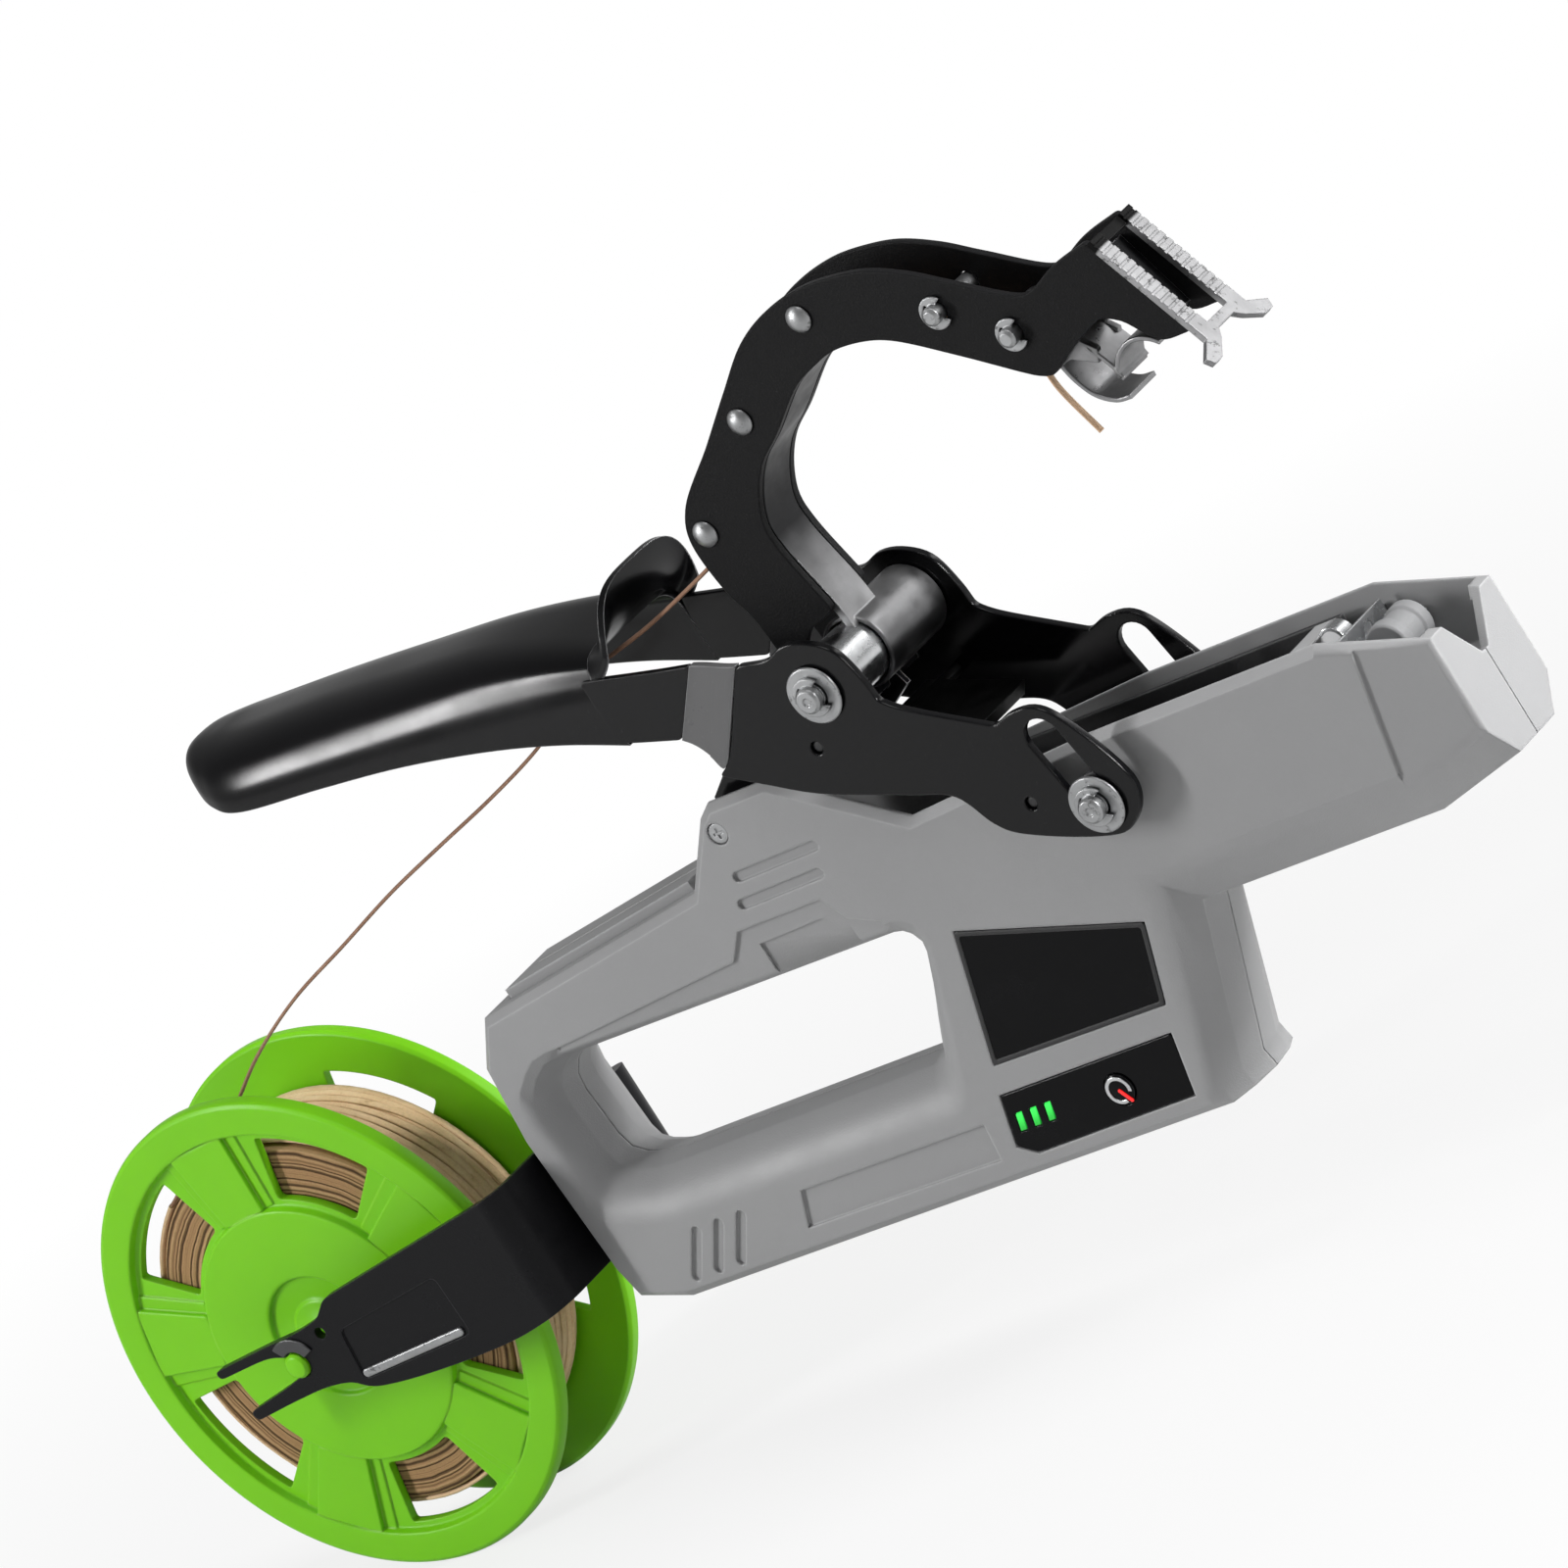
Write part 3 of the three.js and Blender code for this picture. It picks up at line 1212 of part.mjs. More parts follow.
// Free tape, by hand-chosen points.
const tapeToLever = [
  [-268.5, -12.8, -59.05], [-259, -12.8, -54.2], [-247, -12.8, -49.2], [-235.3, -12.8, -43.9],
  [-217.4, -12.8, -32.9],
  [-196.9, -12.8, -23.4], [-173.9, -12.8, -15.8], [-151.3, -12.8, -8.3], [-130.1, -13, -2.4],
  [-109, -13.3, 3.3],
  [-89.3, -13.8, 9.5], [-75, -14.2, 15.4], [-62.1, -14.5, 21.2], [-58, -14.5, 22.5],
];
const tapeToArm = [[-57.6, -14.4, 22.65], [-43.4, -10, 25.1], [-26.3, -5, 29.8], [-17.9, -2.2, 32.6]];
const tapeInArm = [
  [-17.5, -2.1, 32.75], [-9, 0, 35.2], [-1.5, 0, 41], [5, 0, 49], [13.6, 0, 55], [30, 0, 65], [43.5, 0, 69.9],
  [58.8, 0, 66.2], [73.8, 0, 57.6], [81.3, 0, 50.8], [84.4, 0, 43.5], [85.2, 0, 36], [89, 0, 23.7],
];

function cordTube(points, steps) {
  const curve = new THREE.CatmullRomCurve3(
    points.map((point) => new THREE.Vector3(...point)), false, 'centripetal',
  );
  const section = new THREE.Shape(Array.from({ length: tape.sides }, (_, i) => {
    const angle = (2 * Math.PI * i) / tape.sides;
    return new THREE.Vector2(tape.radius * Math.cos(angle), tape.radius * Math.sin(angle));
  }));
  return new THREE.ExtrudeGeometry(section, { steps, bevelEnabled: false, extrudePath: curve });
}

// Bracket: a strap bent to a U, cut to its side outline.
// Its shares are of the reach, rearward from the housing, and of the drop, upward from the reel's axis.
const bracketLowerShares = [
  [-0.05, 0.23], [-0.05, -0.08], [0.26, -0.122], [0.79, -0.112], [0.86, -0.084], [0.95, -0.075],
  [1.066, -0.08],
  [1.255, -0.095], [1.263, -0.07],
];
const bracketUpperShares = [
  [1.292, 0.03], [1.296, 0.052], [1.066, 0.068], [0.94, 0.075], [0.84, 0.09], [0.78, 0.129],
];
const bracketRecessShares = [[0.79, 0.045], [0.37, 0.088], [0.365, -0.07], [0.81, -0.088]];
const mouthShares = [[1.9, -1.2], [1.9, 1.1]]; // lips of the notch, in radii of the notch
const notchDegrees = [240, 490];
const bootHoleShare = 0.055;
const onBracket = ([back, up]) => [rearWall - back * bracket.reach, reelAxis[1] + up * bracket.drop];

function sideOutline() {
  const radius = reel.trunnion + gap;
  const [lowLip, highLip] = mouthShares.map(
    ([back, up]) => [reelAxis[0] - back * radius, reelAxis[1] + up * radius]
  );
  return [
    ...bracketLowerShares.map(onBracket), lowLip, ...arc(reelAxis, radius, ...notchDegrees, 8), highLip,
    ...bracketUpperShares.map(onBracket),
  ];
}

function reelBracket() {
  const { inside, sheet, bend } = bracket;
  const outer = inside + sheet;
  const front = rearWall - gap;
  const rear = reelAxis[0] - bracket.reach;
  const corner = (radius) => arc([front - bend, inside + sheet - bend], radius, 90, 0, 4);
  const outside = [
    [rear, outer], ...corner(bend), ...corner(bend).map(([x, y]) => [x, -y]).reverse(), [rear, -outer],
  ];
  const within = bend - sheet;
  const hollow = [
    [rear, inside],
    ...corner(within),
    ...corner(within).map(([x, y]) => [x, -y]).reverse(),
    [rear, -inside],
  ];
  const low = reelAxis[1] - bracket.drop / 2;
  const high = reelAxis[1] + bracket.drop / 2;
  const strap = cut(
    prismZ([...outside].reverse(), low, high),
    prismZ([...hollow].reverse(), low - overrun, high + overrun),
  );
  const outline = prismY(sideOutline(), -outer - overrun, outer + overrun);
  const recess = prismY(bracketRecessShares.map(onBracket), -outer - overrun, -outer + bracket.recess);
  const holePlace = [reelAxis[0] + bracket.bootLength, reelAxis[1] + bracket.drop * bootHoleShare];
  const hole = rodY(bracket.bootHole, -outer - overrun, outer + overrun, holePlace, coarse);
  const screwHoles = bracketScrewPlaces().map(([y, z]) =>
    rodX(screw.shank + gap, front - bend * 2, front + overrun, [y, z], coarse));
  return cut(common(strap, outline), recess, mirrored(recess), hole, ...screwHoles);
}

const bracketScrewPlaces = () => [-1, 1].map(
  (side) => [(side * bracket.screwPitch) / 2, reelAxis[1] + bracket.screwRise]
);

function bracketScrew([y, z]) {
  const face = rearWall - gap - bracket.sheet;
  return join(
    rodX(bracket.screwHead, face - gap - screw.headDepth, face - gap, [y, z]),
    rodX(screw.shank, face - gap * 2, rearWall - gap, [y, z], coarse),
  );
}

const tool = new THREE.Group();
tool.position.set(-gripMiddle[0], 0, -gripMiddle[1]);

function add(name, geometry, material) {
  const mesh = new THREE.Mesh(geometry, material);
  mesh.name = name;
  mesh.geometry.computeVertexNormals();
  tool.add(mesh);
}

function addPair(name, geometry, material) {
  add(`${name}_right`, geometry, material);
  add(`${name}_left`, mirrored(geometry), material);
}

const shell = shellHalf();
add('shell_right', withPanel(shell), materials.grey);
add('shell_left', mirrored(shell), materials.grey);
add('screen_window', screenWindow(), materials.gloss);
add('control_panel', controlPanel(), materials.gloss);
add('charge_lamps', chargeLamps(), materials.green);
add('power_button', powerButton(), materials.gloss);
add('circuit_board', circuitBoard(), materials.board);
add('battery_cell_rear', batteryCell(0), materials.copper);
add('battery_cell_front', batteryCell(1), materials.copper);
add('drive_motor', driveMotor(), materials.zinc);
add('gearbox_case', gearboxCase(), materials.darkPlastic);
add('drive_pinion', drivePinion(), materials.steel);
add('staple_driver', stapleDriver(), materials.steel);
add('staple_magazine', stapleMagazine(), materials.blackTexture);
add('staple_strip', stapleStrip(), materials.zinc);
add('staple_pusher', staplePusher(), materials.darkPlastic);
add('pusher_rod', pusherRod(), materials.steel);
add('magazine_gate', magazineGate(), materials.grey);
add('cutter_plate', cutterPlate(), materials.darkPlastic);
add('cutter_blade', cutterBlade(), materials.steel);
add('feed_hook', feedHook(), materials.zinc);
add('nose_roller', noseRoller(), materials.darkPlastic);
add('roller_pin', rollerPin(), materials.steel);
add('trigger_paddle', triggerPaddle(), materials.grey);
add('trigger_switch', microSwitch(), materials.darkPlastic);
add('shell_screw', shellScrew(), materials.zinc);
addPair('fulcrum_pin', fulcrumPin(), materials.steel);
addPair('fulcrum_spacer', spacer(), materials.darkPlastic);
addPair('fulcrum_washer', washer(fulcrum), materials.zinc);
add('lever_sheet', leverSheet(), materials.blackPaint);
add('lever_tongue', leverTongue(), materials.blackPaint);
add('laminated_core', laminatedCore(), materials.satin);
add('arm_pivot_pin', armPivotPin(), materials.steel);
addPair('pivot_washer', washer(armPin), materials.zinc);
add('arm_bush', armBush(), materials.steel);
addPair('arm_plate', armPlate(), materials.blackTexture);
add('arm_web', armWeb(), materials.satin);
rivetShares.forEach((place, i) => add(`arm_rivet_${i + 1}`, armRivet(place), materials.zinc));
tipPinShares.forEach((place, i) => add(`tip_pin_${i + 1}`, tipPin(place), materials.zinc));
add('tip_fork', tipFork(), materials.zinc);
add('tip_block', tipBlock(), materials.blackTexture);
add('tape_holder', tapeHolder(), materials.steel);
add('reel_flange_right', mirrored(reelFlange()), materials.lime);
add('reel_flange_left', join(reelFlange(), reelHub()), materials.lime);
add('tape_roll', tapeRoll(), materials.kraft);
add('tape_winding', tapeWinding(), materials.kraft);
add('reel_bracket', reelBracket(), materials.blackPaint);
bracketScrewPlaces().forEach(
  (place, i) => add(`bracket_screw_${i + 1}`, bracketScrew(place), materials.zinc)
);
add('tape_to_lever', cordTube(tapeToLever, 46), materials.kraft);
add('tape_to_arm', cordTube(tapeToArm, 10), materials.kraft);
add('tape_in_arm', cordTube(tapeInArm, 38), materials.kraft);

const part = new THREE.Group();
part.add(tool);

export default part;
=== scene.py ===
import json
import math

import bmesh
import bpy
import numpy as np
from mathutils import Matrix, Vector, noise

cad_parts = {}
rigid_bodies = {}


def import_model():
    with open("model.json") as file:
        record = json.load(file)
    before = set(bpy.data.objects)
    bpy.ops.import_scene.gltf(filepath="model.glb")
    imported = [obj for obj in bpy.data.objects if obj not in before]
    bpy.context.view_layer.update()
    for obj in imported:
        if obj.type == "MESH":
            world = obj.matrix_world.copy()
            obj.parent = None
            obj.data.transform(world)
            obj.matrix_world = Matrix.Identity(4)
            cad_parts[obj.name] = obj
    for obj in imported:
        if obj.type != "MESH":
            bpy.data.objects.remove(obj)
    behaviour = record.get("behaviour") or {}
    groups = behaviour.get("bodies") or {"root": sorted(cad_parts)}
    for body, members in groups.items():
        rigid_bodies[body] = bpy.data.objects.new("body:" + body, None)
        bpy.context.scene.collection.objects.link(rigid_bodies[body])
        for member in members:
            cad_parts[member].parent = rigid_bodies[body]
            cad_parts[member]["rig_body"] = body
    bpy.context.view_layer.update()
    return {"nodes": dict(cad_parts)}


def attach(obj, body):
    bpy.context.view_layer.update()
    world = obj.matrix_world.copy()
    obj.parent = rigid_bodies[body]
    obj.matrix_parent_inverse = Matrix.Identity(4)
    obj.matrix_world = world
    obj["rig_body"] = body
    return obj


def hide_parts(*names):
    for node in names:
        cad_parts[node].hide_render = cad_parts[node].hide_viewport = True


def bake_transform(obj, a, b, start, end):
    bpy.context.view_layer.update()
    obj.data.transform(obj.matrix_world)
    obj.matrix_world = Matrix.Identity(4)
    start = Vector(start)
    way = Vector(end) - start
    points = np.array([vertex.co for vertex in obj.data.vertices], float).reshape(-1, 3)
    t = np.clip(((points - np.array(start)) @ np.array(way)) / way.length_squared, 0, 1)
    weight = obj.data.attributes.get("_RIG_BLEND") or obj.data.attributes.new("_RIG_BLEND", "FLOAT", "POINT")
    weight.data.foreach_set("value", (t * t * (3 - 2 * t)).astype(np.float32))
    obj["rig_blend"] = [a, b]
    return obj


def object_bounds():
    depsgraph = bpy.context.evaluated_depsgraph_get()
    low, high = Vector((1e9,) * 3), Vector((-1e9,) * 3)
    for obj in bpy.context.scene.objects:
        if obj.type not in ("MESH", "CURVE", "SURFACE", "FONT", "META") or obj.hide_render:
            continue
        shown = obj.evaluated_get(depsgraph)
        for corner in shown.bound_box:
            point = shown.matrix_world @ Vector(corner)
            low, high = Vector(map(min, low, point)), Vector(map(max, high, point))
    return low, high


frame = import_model()
NODES = frame["nodes"]
MM = 0.001
GRIP = (95.0, 47.0)  # the drawing's zero is the arm pin; the part's zero is the grip's middle
AXLE = ((-242.8 + GRIP[0]) * MM, (-101 + GRIP[1]) * MM)  # of the reel
CLEARANCE = 0.0003  # between stacked pieces
SIDES = (("right", -1), ("left", 1))  # the tool's right is towards -Y


def at(x, z):
    """A share of 100 mm in the side drawing, as metres in the part's frame."""
    return (x * 100 + GRIP[0]) * MM, (z * 100 + GRIP[1]) * MM


def drawn(points):
    return [at(*p) for p in points]


def spot(x, y, z):
    """A drawing point in millimetres, as metres in the part's frame."""
    return Vector(((x + GRIP[0]) * MM, y * MM, (z + GRIP[1]) * MM))


def span(sign, near, far):
    """Two distances from the middle plane as low and high on one side of it."""
    return sorted((sign * near, sign * far))


def link(name, data):
    made = bpy.data.objects.new(name, data)
    bpy.context.scene.collection.objects.link(made)
    return made


def make_camera():
    """The camera solved from the photograph."""
    right = Vector((0.69626, 0.49058, -0.52398))
    up = Vector((0.27851, 0.48816, 0.82713))
    back = Vector((0.66156, -0.72182, 0.20325))
    data = bpy.data.cameras.new("camera")
    data.sensor_width = 36
    data.lens = 241.8
    data.clip_start, data.clip_end = 0.05, 50
    camera = link("camera", data)
    turn = Matrix((right, up, back)).transposed().to_4x4()
    camera.matrix_world = Matrix.Translation((1.5975, -1.6863, 0.4992)) @ turn
    bpy.context.scene.camera = camera


make_camera()


# Materials
class Nodes:
    """A node tree with short ways to add to it."""

    def __init__(self, tree):
        self.tree = tree

    def node(self, kind, **values):
        made = self.tree.nodes.new(kind)
        for key, value in values.items():
            setattr(made, key, value)
        return made

    def link(self, a, b):
        self.tree.links.new(a, b)

    def give(self, socket, value):
        if isinstance(value, bpy.types.NodeSocket):
            self.link(value, socket)
        else:
            socket.default_value = value

    def feed(self, made, **values):
        """Links or sets inputs; an underscore stands for a space."""
        for key, value in values.items():
            self.give(made.inputs[key.replace("_", " ")], value)

    def ramp(self, value, low, high, to_low=0.0, to_high=1.0):
        made = self.node("ShaderNodeMapRange")
        self.feed(made, Value=value, From_Min=low, From_Max=high, To_Min=to_low, To_Max=to_high)
        return made.outputs["Result"]

    def math(self, kind, a, b):
        made = self.node("ShaderNodeMath", operation=kind)
        self.give(made.inputs[0], a)
        self.give(made.inputs[1], b)
        return made.outputs[0]

    def vector(self, kind, a, b=None, output="Value"):
        made = self.node("ShaderNodeVectorMath", operation=kind)
        self.give(made.inputs[0], a)
        if b is not None:
            self.give(made.inputs[1], b)
        return made.outputs[output]

    def mixed(self, factor, a, b, kind="FLOAT"):
        made = self.node("ShaderNodeMix", data_type=kind)
        self.feed(made, Factor=factor, A=a, B=b)
        return made.outputs["Result"]

    def axes(self, place):
        made = self.node("ShaderNodeSeparateXYZ")
        self.feed(made, Vector=place)
        return made.outputs

    def distance(self, place, *axes):
        """How far a place lies from zero along two of its axes."""
        parts, flat = self.axes(place), self.node("ShaderNodeCombineXYZ")
        self.feed(flat, **{axis: parts[axis] for axis in axes})
        return self.vector("LENGTH", flat.outputs["Vector"])


class Shader(Nodes):
    """A principled material with procedural layers on top."""

    def __init__(self, name, color, rough, metal=0.0, specular=0.5):
        self.material = bpy.data.materials.new(name)
        self.material.use_nodes = True
        super().__init__(self.material.node_tree)
        self.main = self.tree.nodes["Principled BSDF"]
        self.color = (*color, 1)
        self.feed(
            self.main, Base_Color=self.color, Roughness=rough, Metallic=metal, Specular_IOR_Level=specular,
        )
        self.place = self.node("ShaderNodeTexCoord").outputs["Object"]
        self.normal = None

    def noise(self, scale, detail=3, rough=0.55, stretch=None):
        source = self.place
        if stretch:
            mapping = self.node("ShaderNodeMapping")
            self.feed(mapping, Scale=stretch, Vector=source)
            source = mapping.outputs["Vector"]
        texture = self.node("ShaderNodeTexNoise")
        self.feed(texture, Scale=scale, Detail=detail, Roughness=rough, Vector=source)
        return texture.outputs["Fac"]

    def paint(self, mask, color):
        """Lays a colour over the base where the mask is one."""
        self.color = self.mixed(mask, self.color, (*color, 1), "RGBA")
        self.link(self.color, self.main.inputs["Base Color"])

    def cloud(self, texture, levels, color):
        """Paints where a noise lies between two levels, up to an amount."""
        low, high, amount = levels
        self.paint(self.ramp(self.noise(*texture), low, high, 0, amount), color)

    def roughen(self, texture, low, high):
        self.feed(self.main, Roughness=self.ramp(self.noise(*texture), 0.25, 0.75, low, high))

    def bump(self, height, distance, strength=1.0):
        made = self.node("ShaderNodeBump")
        self.feed(made, Distance=distance, Strength=strength, Height=height)
        if self.normal:
            self.feed(made, Normal=self.normal)
        self.normal = made.outputs["Normal"]
        self.feed(self.main, Normal=self.normal)

    def soften(self, radius, edge=None):
        """Rounds the edges in the shading, and paints a highlight on them in the edge colour."""
        bevel = self.node("ShaderNodeBevel", samples=4)
        self.feed(bevel, Radius=radius)
        self.normal = bevel.outputs["Normal"]
        self.feed(self.main, Normal=self.normal)
        if edge:
            geometry = self.node("ShaderNodeNewGeometry")
            same = self.vector("DOT_PRODUCT", self.normal, geometry.outputs["Normal"])
            # painted highlight: the edge colour is laid on where the rounded normal leans away from the true
            # normal
            self.paint(self.ramp(same, 0.93, 0.75), edge)


def grey(level, blue=None):
    return level, level, blue or level


def times(color, factor):
    return [c * factor for c in color]


def moulded(name, color, rough, grain=2600, edge=None, radius=0.0007):
    """Grained plastic."""
    s = Shader(name, color, rough, specular=0.45)
    s.soften(radius, edge)
    s.cloud((18, 4), (0.35, 0.75, 0.5), times(color, 0.9))
    s.bump(s.noise(grain, 2), 0.00012, 0.5)
    s.roughen((60, 5), rough - 0.06, rough + 0.08)
    return s


def painted(name, color, rough, edge, radius=0.0005, grain=0.0, shine=0.3):
    """Painted sheet with pale specks."""
    s = Shader(name, color, rough, specular=shine)
    s.soften(radius, edge)
    s.cloud((1400, 3, 0.7), (0.66, 0.74, 0.35), [min(1, c * 4 + 0.03) for c in color])
    if grain:
        s.bump(s.noise(2200, 3, 0.65), grain, 0.7)
    s.roughen((45, 5), rough - 0.05, rough + 0.08)
    return s


def plated(name, color, rough, brushed=None, worn=None):
    """Bare or plated metal."""
    s = Shader(name, color, rough, metal=1.0)
    # painted highlight: the edges are painted a quarter lighter than the metal
    s.soften(0.00035, [min(1, c) for c in times(color, 1.25)])
    s.cloud((110, 5, 0.65), (0.4, 0.7, 0.55), times(color, 0.62))
    if worn:
        s.cloud((420, 4, 0.7), (0.58, 0.66, 0.8), worn)
    if brushed:
        s.bump(s.noise(900, 2, 0.6, stretch=brushed), 0.00004, 0.6)
    s.roughen((170, 4), rough - 0.06, rough + 0.14)
    return s


def satin_web():
    """A satin steel sheet, bare just above its sleeve, with painted shade darkening it towards the top under
    the arm and a dark grey towards the bottom by the sleeve.
    """
    s = plated("satin_web", grey(0.33, 0.335), 0.34, brushed=(1, 0.12, 1))
    wave = s.math("MULTIPLY", s.noise(60, 3), 0.006)
    height = s.math("ADD", s.axes(s.place)["Z"], wave)
    # painted shade: near black towards the top, where the arm shades the web
    s.paint(s.ramp(height, 0.06, 0.082, 0, 0.95), grey(0.016, 0.017))
    # dark grey towards the bottom, by the sleeve
    s.paint(s.ramp(height, 0.058, 0.047, 0, 0.85), grey(0.05, 0.052))
    return s


def rail():
    """A dull zinc fork, near black towards its head."""
    s = plated("zinc_rail", grey(0.32, 0.325), 0.48, worn=grey(0.07))
    foot, along = at(1.207, 0.647), (0.413, 0, -0.911)
    shift = s.vector("SUBTRACT", s.place, (foot[0], 0, foot[1]), output="Vector")
    down = s.vector("DOT_PRODUCT", shift, along)
    s.paint(s.ramp(down, 0.0024, 0.003, 1, 0), grey(0.008))
    return s


def laminated():
    """A block of sheets with a black near face."""
    s = plated("laminated_core", grey(0.75, 0.76), 0.4)
    wave = s.node("ShaderNodeTexWave", bands_direction="X")
    s.feed(wave, Scale=190, Distortion=0.6, Vector=s.place)
    s.paint(s.ramp(wave.outputs["Fac"], 0.12, 0.32, 0.6, 0), grey(0.12))
    s.paint(s.ramp(s.axes(s.place)["Y"], -0.006, -0.0055), grey(0.01))
    return s


def glossy():
    s = Shader("black_gloss", grey(0.003, 0.0035), 0.06, specular=0.1)
    # painted highlight: grey along the edges of the black gloss
    s.soften(0.0004, grey(0.12, 0.125))
    s.cloud((35, 4, 0.6), (0.5, 0.8, 0.7), grey(0.008, 0.009))
    s.roughen((90, 6, 0.7), 0.05, 0.2)
    return s


def lime():
    s = Shader("lime_plastic", (0.19, 0.59, 0.008), 0.34, specular=0.25)
    # painted highlight: a paler green along the edges
    s.soften(0.0007, (0.3, 0.7, 0.06))
    s.feed(s.main, Subsurface_Weight=0.12, Subsurface_Radius=(0.002, 0.004, 0.0006), Subsurface_Scale=1.0)
    s.cloud((22, 3), (0.35, 0.75, 0.5), (0.16, 0.52, 0.006))
    s.bump(s.noise(600, 2), 0.00004, 0.35)
    s.roughen((30, 4), 0.28, 0.42)
    return s


def kraft(name, color, pale, crease):
    """Paper over a wire: fibres along the strip, darker creases."""
    s = Shader(name, color, 0.8, specular=0.2)
    fibre = s.noise(1500, 4, 0.7)
    s.paint(s.ramp(fibre, 0.42, 0.7, 0, 0.55), times(color, 0.72))
    s.cloud((140, 3), (0.45, 0.75, 0.6), pale)
    s.cloud((330, 4, 0.7), (0.6, 0.72, 0.5), crease)
    s.bump(fibre, 0.00018, 0.6)
    s.feed(s.main, Sheen_Weight=0.1)
    return s


def roll():
    """The roll's side: edges of many turns, so rings about the reel's axle."""
    s = Shader("kraft_roll", (0.38, 0.225, 0.11), 0.85, specular=0.15)
    shift = s.vector("SUBTRACT", s.place, (AXLE[0], 0, AXLE[1]), output="Vector")
    wobble = s.math("MULTIPLY", s.noise(60, 3), 0.0016)
    radius = s.math("ADD", s.distance(shift, "X", "Z"), wobble)
    rings = s.node("ShaderNodeTexNoise", noise_dimensions="1D")
    s.feed(rings, Scale=1100, Detail=2, W=radius)
    value = rings.outputs["Fac"]
    s.paint(s.ramp(value, 0.5, 0.36, 0, 0.95), (0.05, 0.028, 0.014))
    s.paint(s.ramp(value, 0.55, 0.68, 0, 0.7), (0.52, 0.34, 0.18))
    s.cloud((1700, 4, 0.7), (0.5, 0.7, 0.35), (0.2, 0.11, 0.05))
    s.bump(value, 0.0009, 0.8)
    return s


def lamp():
    """Green bars, brighter towards the top."""
    s = Shader("green_lamp", (0.01, 0.4, 0.03), 0.25)
    low, high = -0.0655, -0.0615
    level = s.ramp(s.axes(s.place)["Z"], low, high)
    glow = s.mixed(level, (0.0, 0.16, 0.01, 1), (0.05, 0.95, 0.12, 1), "RGBA")
    s.feed(s.main, Emission_Color=glow, Emission_Strength=0.9)
    return s


def red_bar():
    color = (0.75, 0.01, 0.01)
    s = Shader("button_red", color, 0.3)
    s.cloud((700, 2), (0.4, 0.7, 0.4), times(color, 0.6))
    s.feed(s.main, Emission_Color=(1.0, 0.02, 0.02, 1), Emission_Strength=0.6)
    return s


BRUSHED = (1, 0.1, 1)
# In the finishes below, each edge colour is a painted highlight along the rounded edges.
LOOKS = {
    "shell": moulded("grey_shell", (0.295, 0.296, 0.3), 0.46, edge=grey(0.56, 0.57), radius=0.0009),
    "shell_dark": moulded("grey_inner", (0.2, 0.202, 0.206), 0.55, edge=grey(0.36, 0.37)),
    "dark": moulded("dark_plastic", grey(0.012, 0.013), 0.45, edge=grey(0.05)),
    "wall": moulded("magazine_black", grey(0.01, 0.011), 0.5, grain=1500, edge=grey(0.16)),
    "paint": painted("lever_paint", grey(0.003, 0.0035), 0.17, grey(0.4, 0.41), radius=0.00045, shine=0.24),
    "plate": painted(
        "arm_paint", grey(0.0075, 0.008), 0.4, grey(0.26, 0.27), radius=0.0004, grain=0.00016, shine=0.09,
    ),
    "bracket": painted(
        "bracket_paint", grey(0.0055, 0.0065), 0.3, grey(0.04, 0.045), grain=0.00005, shine=0.13,
    ),
    "satin": satin_web(),
    # painted sheen: the step's bend gets a grey copy of the black lever paint
    "joggle": painted("joggle_painted_sheen", grey(0.115, 0.117), 0.3, grey(0.4, 0.41), radius=0.0004, shine=0.25),
    "zinc": plated("zinc_plate", (0.36, 0.365, 0.37), 0.36, worn=grey(0.1)),
    "rail": rail(),
    "steel": plated("bright_steel", (0.66, 0.67, 0.68), 0.22, brushed=BRUSHED),
    "spring": plated("spring_steel", grey(0.27, 0.275), 0.3, brushed=BRUSHED),
    "core": laminated(),
    "gloss": glossy(),
    "lime": lime(),
    "kraft": kraft("kraft_tape", (0.7, 0.48, 0.28), (0.8, 0.6, 0.4), (0.4, 0.23, 0.11)),
    # painted light: a paler copy of the tape's kraft for the tape's end in the arm
    "kraft_painted_light": kraft("kraft_end", (0.78, 0.52, 0.33), (0.82, 0.6, 0.42), (0.5, 0.3, 0.17)),
    "strand": kraft("kraft_strand", (0.3, 0.165, 0.105), (0.4, 0.24, 0.16), (0.12, 0.06, 0.035)),
    "roll": roll(),
    "lamp": lamp(),
    "red": red_bar(),
    "board": moulded("board_green", (0.02, 0.09, 0.03), 0.4),
    "sleeve": moulded("battery_sleeve", (0.03, 0.09, 0.32), 0.35),
}


# Mesh helpers
def smooth(mesh, degrees=32):
    mesh.shade_smooth()
    mesh.set_sharp_from_angle(angle=math.radians(degrees))


def from_lists(name, points, faces, degrees=32):
    mesh = bpy.data.meshes.new(name)
    mesh.from_pydata([tuple(p) for p in points], [], faces)
    bm = bmesh.new()
    bm.from_mesh(mesh)
    bmesh.ops.recalc_face_normals(bm, faces=bm.faces)
    bm.to_mesh(mesh)
    bm.free()
    smooth(mesh, degrees)
    return link(name, mesh)


def bands(rings):
    """Quads between neighbouring rings of points."""
    size = len(rings[0])
    faces = []
    for i in range(len(rings) - 1):
        for k in range(size):
            m = (k + 1) % size
            faces.append([i * size + k, i * size + m, (i + 1) * size + m, (i + 1) * size + k])
    return faces


def tube(name, rings, degrees):
    """Rings joined into a tube with flat ends."""
    size = len(rings[0])
    last = (len(rings) - 1) * size
    ends = [list(range(size))[::-1], [last + k for k in range(size)]]
    return from_lists(name, sum(rings, []), bands(rings) + ends, degrees)


